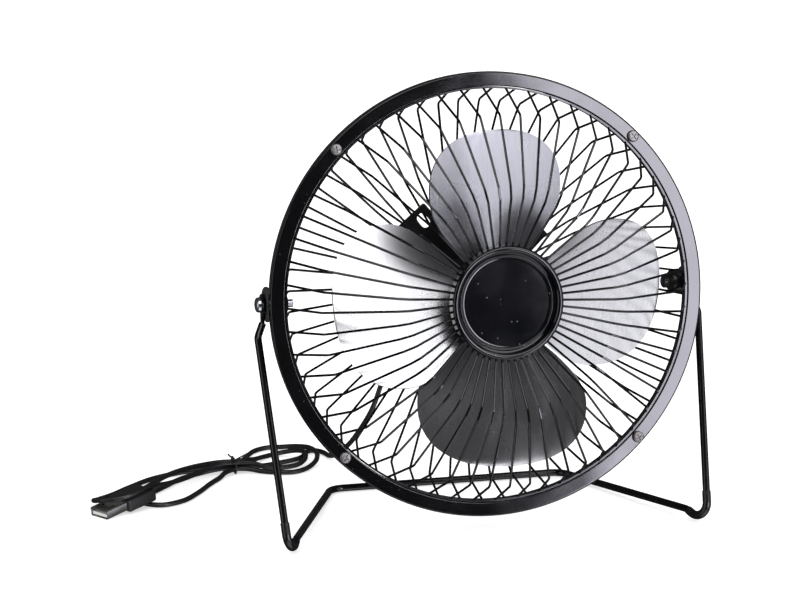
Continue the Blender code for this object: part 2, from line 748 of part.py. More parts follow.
def rivet_holes(centre, depth):
    """One mesh of the two round cutters at the rivets."""
    holes = bmesh.new()
    for side in (-1, 1):
        at = Matrix.Translation((side * RIVET_PITCH_R, 0, centre))
        bmesh.ops.create_cone(
            holes, cap_ends=True, segments=10, radius1=RIVET_BORE_R, radius2=RIVET_BORE_R, depth=depth, matrix=at
        )
    mesh = bpy.data.meshes.new("rivet_holes")
    holes.to_mesh(mesh)
    holes.free()
    return mesh


def make_impeller():
    """Stamped four-petal impeller on a plain centre disc, riveted to a boss on the shaft."""
    disc = band_mesh("impeller", BLADE_DISC_R, BLADE_DISC_R - SHAFT_BORE_R, -BLADE_SHEET, BLADE_SHEET, 32)
    impeller = place("impeller", disc, ALUMINIUM, HEAD, (0, 0, IMPELLER_Z))
    blade = blade_mesh()
    for number in range(BLADE_COUNT):
        copy = moved(blade.copy(), turn_about_z(90 + 360 * number / BLADE_COUNT))
        combine(impeller, copy)
    combine(impeller, rivet_holes(0, 8 * BLADE_SHEET), "DIFFERENCE")


# ---------------------------------------------------------------- motor
END_PLAY = 5 * GAP


def make_motor():
    """Turned can with its end cap, the ring magnet inside it and the armature on the shaft."""
    inner_r = MOTOR_R - MOTOR_WALL
    can = [
        (SHAFT_BORE_R, NOSE_FRONT),
        (MOTOR_NOSE_R, NOSE_FRONT),
        (MOTOR_NOSE_R, MOTOR_FRONT),
        (MOTOR_R - MOTOR_WALL, MOTOR_FRONT),
        (MOTOR_R, MOTOR_FRONT - MOTOR_WALL),
        (MOTOR_R, MOTOR_BACK),
        (inner_r, MOTOR_BACK),
        (inner_r, MOTOR_FRONT - MOTOR_WALL),
        (SHAFT_BORE_R, MOTOR_FRONT - MOTOR_WALL),
    ]
    place("motor_can", lathe_mesh("motor_can", can, 32), BLACK_STEEL, HEAD)
    seat_r = inner_r - GAP
    cap = [(0, CAP_FRONT), (seat_r, CAP_FRONT), (seat_r, MOTOR_BACK), (0, MOTOR_BACK)]
    place("motor_end_cap", lathe_mesh("motor_end_cap", cap, 32), BLACK_PLASTIC, HEAD)
    top = MOTOR_FRONT - MOTOR_WALL - END_PLAY
    bottom = CAP_FRONT + END_PLAY
    place("motor_magnet", band_mesh("motor_magnet", seat_r, MAGNET_WALL, bottom, top, 32), MAGNET, HEAD)
    core = band_mesh("armature", ARMATURE_R, ARMATURE_R - SHAFT_BORE_R, bottom, top, 24)
    place("armature", core, MAGNET, HEAD)


def make_drive():
    """The shaft, the boss pressed on it, the two rivets through the impeller and the end collar."""
    collar_back = IMPELLER_Z + BLADE_SHEET + GAP
    collar_front = collar_back + COLLAR_LENGTH
    shaft = cylinder_mesh("motor_shaft", SHAFT_R, CAP_FRONT + GAP, collar_front + SHAFT_PROUD, 16)
    place("motor_shaft", shaft, STEEL, HEAD)
    collar_r = SHAFT_BORE_R + COLLAR_WALL
    collar = band_mesh("shaft_collar", collar_r, COLLAR_WALL, collar_back, collar_front, 20)
    place("shaft_collar", collar, STEEL, HEAD)
    boss_mesh = band_mesh("impeller_boss", BOSS_R, BOSS_R - SHAFT_BORE_R, BOSS_BACK, BOSS_FRONT, 24)
    boss = place("impeller_boss", boss_mesh, STEEL, HEAD)
    combine(boss, rivet_holes(BOSS_FRONT, 2 * (RIVET_DEPTH + GAP)), "DIFFERENCE")
    rivet = lathe_mesh(
        "impeller_rivet",
        [
            (0, collar_back + RIVET_HEAD_H),
            (RIVET_HEAD_R * 0.7, collar_back + RIVET_HEAD_H),
            (RIVET_HEAD_R, collar_back),
            (RIVET_R, collar_back),
            (RIVET_R, BOSS_FRONT - RIVET_DEPTH),
            (0, BOSS_FRONT - RIVET_DEPTH),
        ],
        10,
    )
    for number, side in enumerate((-1, 1), 1):
        place(f"impeller_rivet_{number}", rivet, STEEL, HEAD, (side * RIVET_PITCH_R, 0, 0))


def turned(points, angle_deg):
    c = math.cos(math.radians(angle_deg))
    s = math.sin(math.radians(angle_deg))
    return [(x * c - y * s, x * s + y * c) for x, y in points]


def slot_outline(offset):
    """Slot along an arm that points to +X, moved sideways by the offset."""
    half = (BRACKET_SLOT_LENGTH - BRACKET_SLOT_WIDTH) / 2
    r = BRACKET_SLOT_WIDTH / 2
    outer = arc((BRACKET_SLOT_R + half, offset), r, -90, 90, 6)
    return outer + arc((BRACKET_SLOT_R - half, offset), r, 90, 270, 6)


def bracket_outline():
    """Hub circle with three straight arms, each cut square with its corners just rounded."""
    w = BRACKET_ARM_HALF_WIDTH
    r = BRACKET_CORNER_R
    end = BRACKET_ARM_LENGTH
    spread = math.degrees(math.asin(w / BRACKET_HUB_R))
    tip = arc((end - r, r - w), r, -90, 0, 3) + arc((end - r, w - r), r, 0, 90, 3)
    arms = sorted(BRACKET_ARM_ANGLES)
    outline = []
    for angle, after in zip(arms, [*arms[1:], arms[0] + 360]):
        outline += turned(tip, angle)
        start = angle + spread
        stop = after - spread
        steps = max(2, round((stop - start) / 9))
        outline += arc((0, 0), BRACKET_HUB_R, start, stop, steps)
    return outline


def make_bracket():
    """Three-armed plate behind the motor, lying on the rear guard's flat wires."""
    holes = [arc((0, 0), BRACKET_BORE_R, 0, 360, 16)[:-1]]
    for angle in HOUSING_SCREW_ANGLES:
        t = math.radians(angle)
        at = (HOUSING_SCREW_PITCH_R * math.cos(t), HOUSING_SCREW_PITCH_R * math.sin(t))
        holes.append(arc(at, HOUSING_SCREW_R + GAP, 0, 360, 10)[:-1])
    for angle, offset in zip(BRACKET_ARM_ANGLES, BRACKET_SLOT_OFFSETS):
        holes.append(turned(slot_outline(offset), angle))
    plate = plate_mesh("motor_bracket", bracket_outline(), BRACKET_SHEET, holes)
    place("motor_bracket", plate, BLACK_STEEL, HEAD, (0, 0, (BRACKET_BACK + BRACKET_FRONT) / 2))


# ---------------------------------------------------------------- rear housing
HOUSING_FRONT = BRACKET_BACK - GAP
HOUSING_BACK = HOUSING_FRONT - HOUSING_LENGTH
CLAMP_FRONT = REAR_HUB_Z - REAR_HUB_RING_THICKNESS / 2 - GAP
CLAMP_BACK = CLAMP_FRONT - HOUSING_WALL
CLAMP_R = REAR_HUB_OUTER_R - GAP
HOUSING_INSIDE_BACK = HOUSING_BACK + HOUSING_WALL
SWITCH_HOLE_WIDTH = SWITCH_WIDTH + 2 * GAP
SWITCH_HOLE_HEIGHT = SWITCH_HEIGHT + 2 * GAP
RELIEF_NECK_R = RELIEF_TIP_R


def make_housing():
    """Cup behind the guard: its collar clamps the guard's hub ring against the bracket."""
    fillet = HOUSING_WALL
    inner_r = HOUSING_R - HOUSING_WALL
    profile = [
        (HOUSING_R, HOUSING_FRONT),
        (HOUSING_R, CLAMP_FRONT),
        (CLAMP_R, CLAMP_FRONT),
        (CLAMP_R, CLAMP_BACK),
        (HOUSING_R, CLAMP_BACK),
        (HOUSING_R, HOUSING_BACK + fillet),
        (HOUSING_R - fillet * 0.3, HOUSING_BACK + fillet * 0.3),
        (HOUSING_R - fillet, HOUSING_BACK),
        (0, HOUSING_BACK),
        (0, HOUSING_INSIDE_BACK),
        (inner_r, HOUSING_INSIDE_BACK),
        (inner_r, HOUSING_FRONT),
    ]
    housing = place("rear_housing", lathe_mesh("rear_housing", profile, BADGE_STEPS), BLACK_PLASTIC, HEAD)
    depth = 4 * HOUSING_WALL
    hole = box_mesh("switch_hole", (SWITCH_HOLE_WIDTH, SWITCH_HOLE_HEIGHT, depth), (0, SWITCH_UP, HOUSING_BACK))
    combine(housing, hole, "DIFFERENCE")
    low = HOUSING_BACK - HOUSING_WALL
    high = HOUSING_INSIDE_BACK + HOUSING_WALL
    neck = cylinder_mesh("relief_hole", RELIEF_NECK_R + GAP, low, high, 16)
    combine(housing, moved(neck, Matrix.Translation((RELIEF_X, RELIEF_Y, 0))), "DIFFERENCE")
    for angle in HOUSING_SCREW_ANGLES:
        bore = cylinder_mesh("cover_screw_hole", HOUSING_SCREW_R + GAP, low, high, 12)
        at = turn_about_z(angle) @ Matrix.Translation((HOUSING_SCREW_PITCH_R, 0, 0))
        combine(housing, moved(bore, at), "DIFFERENCE")


def make_housing_screws():
    head_front = HOUSING_BACK - GAP
    head_back = head_front - HOUSING_SCREW_HEAD_H
    profile = [
        (0, BRACKET_FRONT),
        (HOUSING_SCREW_R, BRACKET_FRONT),
        (HOUSING_SCREW_R, head_front),
        (HOUSING_SCREW_HEAD_R, head_front),
        (HOUSING_SCREW_HEAD_R, head_front - HOUSING_SCREW_HEAD_H * 0.5),
        (HOUSING_SCREW_HEAD_R * 0.7, head_back),
        (0, head_back),
    ]
    screw = lathe_mesh("housing_screw", profile, 14)
    for number, angle in enumerate(HOUSING_SCREW_ANGLES, 1):
        at = turn_about_z(angle) @ Vector((HOUSING_SCREW_PITCH_R, 0, 0))
        place(f"housing_screw_{number}", screw, ZINC, HEAD, at)


def make_switch():
    """Rocker switch: a flanged frame through the housing's rear wall, with a rocker on a cross pin."""
    outside = HOUSING_BACK - GAP
    frame_w = SWITCH_WIDTH + 4 * SWITCH_FLANGE
    frame_h = SWITCH_HEIGHT + 4 * SWITCH_FLANGE
    flange = box_mesh(
        "switch_frame", (frame_w, frame_h, SWITCH_FLANGE), (0, SWITCH_UP, outside - SWITCH_FLANGE / 2)
    )
    frame = place("switch_frame", flange, BLACK_PLASTIC, HEAD)
    body_top = outside + SWITCH_DEPTH
    body = box_mesh(
        "switch_body",
        (SWITCH_WIDTH, SWITCH_HEIGHT, SWITCH_DEPTH + SWITCH_FLANGE / 2),
        (0, SWITCH_UP, body_top - (SWITCH_DEPTH + SWITCH_FLANGE / 2) / 2),
    )
    combine(frame, body)
    well_w = SWITCH_WIDTH - 2 * SWITCH_WALL
    well_h = SWITCH_HEIGHT - 2 * SWITCH_WALL
    well_top = body_top - SWITCH_WALL
    well_low = outside - 2 * SWITCH_FLANGE
    well_size = (well_w, well_h, well_top - well_low)
    well = box_mesh("switch_well", well_size, (0, SWITCH_UP, (well_top + well_low) / 2))
    combine(frame, well, "DIFFERENCE")
    make_rocker(well_w - 2 * ROCKER_GAP, well_h, outside)


def make_rocker(width, well_height, outside):
    """Rocker with a shallow V face, turned about a pin across the switch's short side."""
    half = width / 2
    reach = outside - SWITCH_FLANGE - ROCKER_PIN_Z_ABOVE
    face = ROCKER_PROUD + ROCKER_PIN_Z_ABOVE + SWITCH_FLANGE
    dip = half * math.tan(math.radians(ROCKER_TILT_DEG))
    belly = ROCKER_PIN_Z_ABOVE * 0.9
    shoulder = (half * 0.86, belly * 0.2)
    outline = [
        (-half, -face),
        (0, -face + dip),
        (half, -face),
        shoulder,
        (0, belly),
        (-shoulder[0], shoulder[1]),
    ]
    mesh = plate_mesh("switch_rocker", outline, well_height - 2 * ROCKER_GAP)
    on_edge = Matrix.Rotation(math.radians(90), 4, "X")
    pressed = Matrix.Rotation(math.radians(ROCKER_TILT_DEG), 4, "Y")
    moved(mesh, pressed @ on_edge)
    place("switch_rocker", mesh, BLACK_PLASTIC, HEAD, (0, SWITCH_UP, reach + 2 * ROCKER_PIN_Z_ABOVE))


# ---------------------------------------------------------------- pivots
EYELET_X = RING_OUTER_R + EYELET_OUTSIDE_RING
EYELET_INNER_X = EYELET_X - EYELET_THICKNESS / 2
EYELET_OUTER_X = EYELET_X + EYELET_THICKNESS / 2
WASHER_OUTER_X = EYELET_INNER_X - GAP
WASHER_INNER_X = WASHER_OUTER_X - PIVOT_WASHER_THICKNESS
LUG_OUTER_X = WASHER_INNER_X - GAP
LUG_INNER_X = LUG_OUTER_X - LUG_THICKNESS
PIVOT_NUT_OUTER_X = LUG_INNER_X - GAP
PIVOT_NUT_INNER_X = PIVOT_NUT_OUTER_X - PIVOT_NUT_STRAIGHT - PIVOT_NUT_DOME
PIVOT_BORE_R = PIVOT_SHANK_R + GAP
FACING_SIDEWAYS = Matrix(((0, 0, 1, 0), (1, 0, 0, 0), (0, 1, 0, 0), (0, 0, 0, 1)))


def side_lathe(name, profile, steps, side):
    """Turn an (r, x) profile about the tilt axis on one side; x runs from the ring outward."""
    return moved(lathe_mesh(name, profile, steps), Matrix.Rotation(math.radians(90 * side), 4, "Y"))


def make_pivots():
    for side, label in ((1, "right"), (-1, "left")):
        head_inner = EYELET_OUTER_X + GAP
        head_outer = head_inner + PIVOT_HEAD_H
        tip = PIVOT_NUT_INNER_X - PIVOT_TIP_PROUD
        screw = [
            (0, head_outer),
            (PIVOT_HEAD_R * 0.75, head_outer),
            (PIVOT_HEAD_R, head_outer - PIVOT_HEAD_H * 0.45),
            (PIVOT_HEAD_R, head_inner),
            (PIVOT_SHANK_R, head_inner),
            (PIVOT_SHANK_R, tip),
            (0, tip),
        ]
        place(f"pivot_screw_{label}", side_lathe("pivot_screw", screw, 20, side), ZINC, TILT)
        washer = [
            (PIVOT_BORE_R, WASHER_OUTER_X),
            (PIVOT_WASHER_R - 2 * GAP, WASHER_OUTER_X),
            (PIVOT_WASHER_R, WASHER_OUTER_X - 2 * GAP),
            (PIVOT_WASHER_R, WASHER_INNER_X + 2 * GAP),
            (PIVOT_WASHER_R - 2 * GAP, WASHER_INNER_X),
            (PIVOT_BORE_R, WASHER_INNER_X),
        ]
        place(f"pivot_washer_{label}", side_lathe("pivot_washer", washer, 28, side), RUBBER, TILT)
        nut = [
            (PIVOT_BORE_R, PIVOT_NUT_OUTER_X),
            (PIVOT_NUT_R, PIVOT_NUT_OUTER_X),
            (PIVOT_NUT_R, PIVOT_NUT_OUTER_X - PIVOT_NUT_STRAIGHT),
            (PIVOT_NUT_R * 0.86, PIVOT_NUT_INNER_X + PIVOT_NUT_DOME * 0.5),
            (PIVOT_NUT_TIP_R, PIVOT_NUT_INNER_X),
            (PIVOT_BORE_R, PIVOT_NUT_INNER_X),
        ]
        place(f"pivot_nut_{label}", side_lathe("pivot_nut", nut, 20, side), BLACK_STEEL, HEAD)
        make_lug(side, label)


def make_lug(side, label):
    """Angle lug: a round-ended cheek on the tilt axis and a foot flat on the rear ring."""
    top = RING_BACK - GAP
    half = LUG_R
    outline = [(half, top), (-half, top), *arc((0, 0), half, 180, 360, 12)]
    bore = arc((0, 0), PIVOT_BORE_R, 0, 360, 16)[:-1]
    cheek = plate_mesh("pivot_lug", outline, LUG_THICKNESS, [bore])
    moved(cheek, Matrix.Translation((side * (LUG_OUTER_X + LUG_INNER_X) / 2, 0, 0)) @ FACING_SIDEWAYS)
    lug = place(f"pivot_lug_{label}", cheek, BLACK_STEEL, HEAD)
    foot_inner = RING_INNER_R + GAP
    length = LUG_OUTER_X - foot_inner
    foot = box_mesh(
        "lug_foot",
        (length, 2 * half, LUG_THICKNESS),
        (side * (foot_inner + length / 2), 0, top - LUG_THICKNESS / 2),
    )
    combine(lug, foot)


# ---------------------------------------------------------------- stand
SLEEVE_INNER_R = STAND_WIRE_R + GAP
SLEEVE_OUTER_R = SLEEVE_INNER_R + SLEEVE_WALL
FOOT_Z = SLEEVE_OUTER_R
REAR_Z = STAND_WIRE_R


def stand_route(side, sink=0.0):
    """Corners of one half of the stand, from the eyelet's neck to the middle of the rear bar."""
    neck = Vector((side * EYELET_X, 0, PIVOT_HEIGHT - STAND_NECK_DROP))
    knee_x = EYELET_X + STAND_KNEE_OUTSET
    foot_x = EYELET_X - STAND_FOOT_INSET
    knee = Vector((side * knee_x, STAND_KNEE_Y, PIVOT_HEIGHT - STAND_KNEE_DROP))
    foot = Vector((side * foot_x, STAND_FOOT_Y, FOOT_Z - sink))
    rear = Vector((side * STAND_REAR_X, STAND_REAR_Y, REAR_Z))
    away = (rear - foot).normalized()
    toe_back = foot + away * STAND_TOE_LENGTH
    toe_back.z = FOOT_Z + STAND_TOE_DROP
    middle = Vector((0, STAND_REAR_Y, REAR_Z))
    return neck, knee, foot, toe_back, rear, middle


def stand_path(side):
    """Rounded centreline; the foot's corner is lowered until its bend rests on the floor."""
    sink = 0.0
    for _ in range(4):
        neck, knee, foot, toe_back, rear, middle = stand_route(side, sink)
        upper = rounded_path([neck, knee, foot, toe_back], STAND_FOOT_BEND_R, 6)
        sink += min(point.z for point in upper) - FOOT_Z
    lower = rounded_path([foot, toe_back, rear, middle], STAND_BEND_R, 6)
    return upper[:-1] + lower[1:]


def make_stand():
    right = stand_path(1)
    left = stand_path(-1)
    run = right + left[::-1][1:]
    wire = tube_mesh("stand_frame", [run], STAND_WIRE_R, 2)
    frame = place("stand_frame", wire, ENAMEL)
    for side in (1, -1):
        tail = STAND_NECK_DROP + STAND_WIRE_R
        outline = arc((0, 0), EYELET_R, -50, 230, 20)
        outline += [(-STAND_WIRE_R, -tail), (STAND_WIRE_R, -tail)]
        bore = arc((0, 0), PIVOT_BORE_R, 0, 360, 16)[:-1]
        plate = plate_mesh("eyelet", outline, EYELET_THICKNESS, [bore])
        at = Matrix.Translation((side * EYELET_X, 0, PIVOT_HEIGHT)) @ FACING_SIDEWAYS
        combine(frame, moved(plate, at))
    for side, label in ((1, "right"), (-1, "left")):
        make_sleeve(side, label)


def make_sleeve(side, label):
    """Thin sleeve over the bend of each front foot."""
    path = stand_path(side)
    foot = stand_route(side)[2]
    lowest = min(range(len(path)), key=lambda i: (path[i] - foot).length)
    run = [path[lowest]]
    for step, reach in ((-1, SLEEVE_LEG_LENGTH), (1, SLEEVE_BASE_LENGTH)):
        at = lowest
        left_over = reach
        while left_over > 0:
            span = path[at + step] - path[at]
            share = min(1.0, left_over / span.length)
            point = path[at] + span * share
            run = [point, *run] if step < 0 else [*run, point]
            left_over -= span.length
            at += step
    curve = bpy.data.curves.new("sleeve", "CURVE")
    curve.dimensions = "3D"
    curve.bevel_depth = SLEEVE_INNER_R
    curve.bevel_resolution = 3
    spline = curve.splines.new("POLY")
    spline.points.add(len(run) - 1)
    for point, at in zip(spline.points, run):
        point.co = (*at, 1)
    carrier = bpy.data.objects.new("sleeve", curve)
    PARTS.objects.link(carrier)
    skin = mesh_of(carrier)
    bpy.data.objects.remove(carrier)
    bpy.data.curves.remove(curve)
    sleeve = place(f"foot_sleeve_{label}", skin, RUBBER)
    wall = sleeve.modifiers.new("wall", "SOLIDIFY")
    wall.thickness = SLEEVE_WALL
    wall.offset = 1


# ---------------------------------------------------------------- lead
def make_relief():
    """Tapered strain relief on the housing's rear wall, with its neck through the wall."""
    seat = HOUSING_BACK - GAP
    tip = seat - RELIEF_LENGTH
    profile = [
        (0, HOUSING_INSIDE_BACK + HOUSING_WALL),
        (RELIEF_NECK_R, HOUSING_INSIDE_BACK + HOUSING_WALL),
        (RELIEF_NECK_R, seat),
        (RELIEF_BASE_R, seat),
        (RELIEF_BASE_R, seat - 0.15 * RELIEF_LENGTH),
        (RELIEF_TIP_R, tip),
        (0, tip),
    ]
    place("cord_relief", lathe_mesh("cord_relief", profile, 16), BLACK_PLASTIC, HEAD, (RELIEF_X, RELIEF_Y, 0))
    matrix = Matrix.Translation((0, 0, PIVOT_HEIGHT)) @ HEAD_TURN
    start = matrix @ Vector((RELIEF_X, RELIEF_Y, tip - GAP))
    return start, (matrix.to_3x3() @ Vector((0, 0, -1))).normalized()


def plug_matrix():
    heading = math.radians(PLUG_HEADING_DEG)
    pitch = math.radians(PLUG_PITCH_DEG)
    return Matrix.Translation(PLUG_REAR) @ Matrix.Rotation(heading, 4, "Z") @ Matrix.Rotation(pitch, 4, "Y")


def make_plug():
    """USB plug along its own +X: moulded grip, tin shell with its tongue inside."""
    at = plug_matrix()
    t, w = PLUG_BODY_THICKNESS, PLUG_BODY_WIDTH
    body = box_mesh("plug_body", (PLUG_BODY_LENGTH, w, t), (PLUG_BODY_LENGTH / 2, 0, 0))
    work = bmesh.new()
    work.from_mesh(body)
    bmesh.ops.bevel(work, geom=work.edges[:], offset=t * 0.22, segments=2, affect="EDGES")
    work.to_mesh(body)
    work.free()
    plug = place("plug_body", body, BLACK_PLASTIC)
    relief = [
        (0, PLUG_RELIEF_SEAT),
        (PLUG_RELIEF_BASE_R, PLUG_RELIEF_SEAT),
        (PLUG_RELIEF_BASE_R, 0),
        (CORD_R + 2 * GAP, -PLUG_RELIEF_LENGTH),
        (0, -PLUG_RELIEF_LENGTH),
    ]
    tail = lathe_mesh("plug_relief", relief, 16)
    combine(plug, moved(tail, Matrix.Rotation(math.radians(90), 4, "Y")))
    plug.matrix_world = at
    for step in plug.modifiers:
        step.object.matrix_world = at
    start = PLUG_BODY_LENGTH + GAP
    end = start + PLUG_SHELL_LENGTH
    sw, st, wall = PLUG_SHELL_WIDTH, PLUG_SHELL_THICKNESS, PLUG_SHELL_WALL
    shell = place("plug_shell", box_mesh("plug_shell", (end - start, sw, st), ((start + end) / 2, 0, 0)), TIN)
    hollow = (end - start, sw - 2 * wall, st - 2 * wall)
    combine(shell, box_mesh("shell_hollow", hollow, ((start + end) / 2 + 2 * wall, 0, 0)), "DIFFERENCE")
    shell.matrix_world = at
    for step in shell.modifiers:
        step.object.matrix_world = at
    tongue_h = PLUG_TONGUE_THICKNESS
    tongue_low = -st / 2 + wall + GAP
    tongue_start = start + 2 * wall + GAP
    tongue_end = end - 2 * GAP
    tongue = box_mesh(
        "plug_tongue",
        (tongue_end - tongue_start, sw - 2 * wall - 2 * GAP, tongue_h),
        ((tongue_start + tongue_end) / 2, 0, tongue_low + tongue_h / 2),
    )
    place("plug_tongue", tongue, TONGUE_WHITE).matrix_world = at
    return at @ Vector((-PLUG_RELIEF_LENGTH - GAP, 0, 0)), (at.to_3x3() @ Vector((-1, 0, 0))).normalized()


def make_tie():
    """Wire tie: one rounded loop round the five passes, its two tails twisted out of the top."""
    cx, cy, cz = TIE_PLACE
    corner = TIE_HALF_HEIGHT * 0.72
    loop = []
    for sy, sz, first in ((1, 1, 0), (-1, 1, 90), (-1, -1, 180), (1, -1, 270)):
        centre = (sy * (TIE_HALF_WIDTH - corner), sz * (TIE_HALF_HEIGHT - corner))
        loop += arc(centre, corner, first, first + 90, 4)
    ring = [Vector((cx, cy + y, cz + z)) for y, z in loop]
    band = tube_mesh("cord_tie", [ring], TIE_R, 2, cyclic=True)
    tie = place("cord_tie", band, BLACK_PLASTIC)
    root = Vector((cx, cy - TIE_HALF_WIDTH * 0.45, cz + TIE_HALF_HEIGHT))
    for turn, lean in ((0, (-0.55, -0.75, 0.60)), (180, (0.60, -0.70, 0.55))):
        lean = Vector(lean).normalized()
        side = Vector((1, 0, 0)) * (0.5 * TIE_R * (1 if turn else -1))
        points = [root + side]
        for i in range(1, 6):
            points.append(root + side + lean * (TIE_TAIL_LENGTH * i / 5))
        combine(tie, tube_mesh("tie_tail", [points], TIE_R, 1))


def make_lead():
    start, out = make_relief()
    plug_end, plug_out = make_plug()
    first = [start, start + out * CORD_STRAIGHT_AT_RELIEF]
    last = [plug_end + plug_out * CORD_STRAIGHT_AT_PLUG, plug_end]
    lead = smooth_route([*first, *DROP_ROUTE, *FLOOR_ROUTE, *last], CORD_POINTS)
    landing = Vector(DROP_ROUTE[-1])
    split = min(range(len(lead)), key=lambda i: (lead[i] - landing).length)
    drop = lead[:split + 1]
    floor = lead[split:]
    floor[0] = floor[0] + (floor[1] - floor[0]).normalized() * GAP
    place("cord_drop", tube_mesh("cord_drop", [drop], CORD_R, 2), CORD_BLACK)
    place("cord_floor", tube_mesh("cord_floor", [floor], CORD_R, 2), CORD_BLACK)
    make_tie()


def finish_shading():
    for piece in PARTS.objects:
        if piece.type != "MESH":
            continue
        piece.data.shade_smooth()
        piece.data.set_sharp_from_angle(angle=math.radians(35))


# ---------------------------------------------------------------- build
for old in list(bpy.data.objects):
    bpy.data.objects.remove(old)

PARTS = bpy.data.collections.new("desk_fan")
TOOLS = bpy.data.collections.new("desk_fan_tools")
bpy.context.scene.collection.children.link(PARTS)
bpy.context.scene.collection.children.link(TOOLS)

ENAMEL = material("black_enamel", (0.012, 0.012, 0.014), 0.18, 0.0)
BLACK_STEEL = material("black_steel", (0.015, 0.015, 0.016), 0.45, 0.6)
BLACK_PLASTIC = material("black_plastic", (0.018, 0.018, 0.019), 0.5, 0.0)
RUBBER = material("dark_rubber", (0.03, 0.03, 0.032), 0.75, 0.0)
CORD_BLACK = material("cord_black", (0.014, 0.014, 0.015), 0.45, 0.0)
ALUMINIUM = material("brushed_aluminium", (0.80, 0.80, 0.83), 0.32, 1.0)
ZINC = material("zinc_plate", (0.62, 0.63, 0.68), 0.28, 1.0)
STEEL = material("bright_steel", (0.55, 0.55, 0.56), 0.3, 1.0)
TIN = material("tin_shell", (0.70, 0.70, 0.71), 0.25, 1.0)
MAGNET = material("motor_iron", (0.10, 0.10, 0.11), 0.6, 0.7)
TONGUE_WHITE = material("tongue_white", (0.75, 0.75, 0.74), 0.5, 0.0)

TILT = bpy.data.objects.new("tilt_axis", None)
PARTS.objects.link(TILT)
TILT.location = (0, 0, PIVOT_HEIGHT)
HEAD_TURN = Matrix.Rotation(math.radians(90 - TILT_DEG), 4, "X")
HEAD = bpy.data.objects.new("head_frame", None)
PARTS.objects.link(HEAD)
HEAD.parent = TILT
HEAD.rotation_euler = (math.radians(90 - TILT_DEG), 0, 0)
bpy.context.view_layer.update()

make_rings()
make_rim_fasteners()
make_front_guard()
make_rear_guard()
make_badge()
make_impeller()
make_motor()
make_drive()
make_bracket()
make_housing()
make_housing_screws()
make_switch()
make_pivots()
make_stand()
make_lead()
finish_shading()
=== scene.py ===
import json
import math

import bmesh
import bpy
from mathutils import Matrix, Vector


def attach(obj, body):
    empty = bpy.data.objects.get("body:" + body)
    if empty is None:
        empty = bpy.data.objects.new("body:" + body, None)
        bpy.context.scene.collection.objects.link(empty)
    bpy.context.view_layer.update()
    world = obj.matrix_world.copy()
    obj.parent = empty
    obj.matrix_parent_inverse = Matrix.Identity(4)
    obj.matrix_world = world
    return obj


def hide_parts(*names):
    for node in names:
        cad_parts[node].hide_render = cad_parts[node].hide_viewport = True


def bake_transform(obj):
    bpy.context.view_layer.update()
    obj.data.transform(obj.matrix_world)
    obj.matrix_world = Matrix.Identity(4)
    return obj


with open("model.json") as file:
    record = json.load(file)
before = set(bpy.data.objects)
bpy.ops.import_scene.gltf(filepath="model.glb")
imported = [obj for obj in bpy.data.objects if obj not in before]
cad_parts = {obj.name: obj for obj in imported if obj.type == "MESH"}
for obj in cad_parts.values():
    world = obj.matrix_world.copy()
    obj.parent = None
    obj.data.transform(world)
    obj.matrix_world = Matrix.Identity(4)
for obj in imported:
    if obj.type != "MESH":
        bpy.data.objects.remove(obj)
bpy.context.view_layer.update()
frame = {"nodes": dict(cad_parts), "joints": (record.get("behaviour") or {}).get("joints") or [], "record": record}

# ------------------------------------------------------------ camera, floor and light
# A long lens a little to the left and above, a white table with a white wall behind, and
# soft light from all round. The room is dark to the gloss paint and the bright metal, which
# show only the cards and the softbox that stand round them.
lens_mm = 135.0
camera_distance = 1.44
camera_azimuth = math.radians(14.54)
camera_elevation = math.radians(13.01)
camera_aim = Vector((-0.0401, 0.0, 0.1118))
looking = Vector((
    math.sin(camera_azimuth) * math.cos(camera_elevation),
    math.cos(camera_azimuth) * math.cos(camera_elevation),
    -math.sin(camera_elevation),
))
camera = bpy.data.objects.new("camera", bpy.data.cameras.new("camera"))
camera.data.lens = lens_mm
camera.data.sensor_width = 36.0
camera.data.clip_start = 0.05
camera.location = camera_aim - looking * camera_distance
camera.rotation_euler = looking.to_track_quat("-Z", "Y").to_euler()
bpy.context.scene.collection.objects.link(camera)
bpy.context.scene.camera = camera
bpy.context.scene.view_settings.view_transform = "Standard"

world = bpy.data.worlds.new("white_room")
world.use_nodes = True
world_nodes, world_links = world.node_tree.nodes, world.node_tree.links
world_nodes["Background"].inputs["Color"].default_value = (1.0, 1.0, 1.0, 1.0)
ray_kind = world_nodes.new("ShaderNodeLightPath")
seen_in_gloss = world_nodes.new("ShaderNodeMapRange")
seen_in_gloss.inputs["To Min"].default_value = 1.0
seen_in_gloss.inputs["To Max"].default_value = 0.06
world_links.new(ray_kind.outputs["Is Glossy Ray"], seen_in_gloss.inputs["Value"])
world_links.new(seen_in_gloss.outputs["Result"], world_nodes["Background"].inputs["Strength"])
bpy.context.scene.world = world

floor_material = bpy.data.materials.new("white_table")
floor_material.use_nodes = True
floor_shader = floor_material.node_tree.nodes["Principled BSDF"]
floor_shader.inputs["Base Color"].default_value = (0.9, 0.9, 0.9, 1.0)
floor_shader.inputs["Roughness"].default_value = 0.9
floor_shader.inputs["Emission Color"].default_value = (1.0, 1.0, 1.0, 1.0)
floor_shader.inputs["Emission Strength"].default_value = 0.55
work = bmesh.new()
bmesh.ops.create_grid(work, x_segments=1, y_segments=1, size=4.0)
floor_mesh = bpy.data.meshes.new("table_top")
work.to_mesh(floor_mesh)
work.free()
floor_mesh.materials.append(floor_material)
table_top = bpy.data.objects.new("table_top", floor_mesh)
bpy.context.scene.collection.objects.link(table_top)
table_top.visible_glossy = False


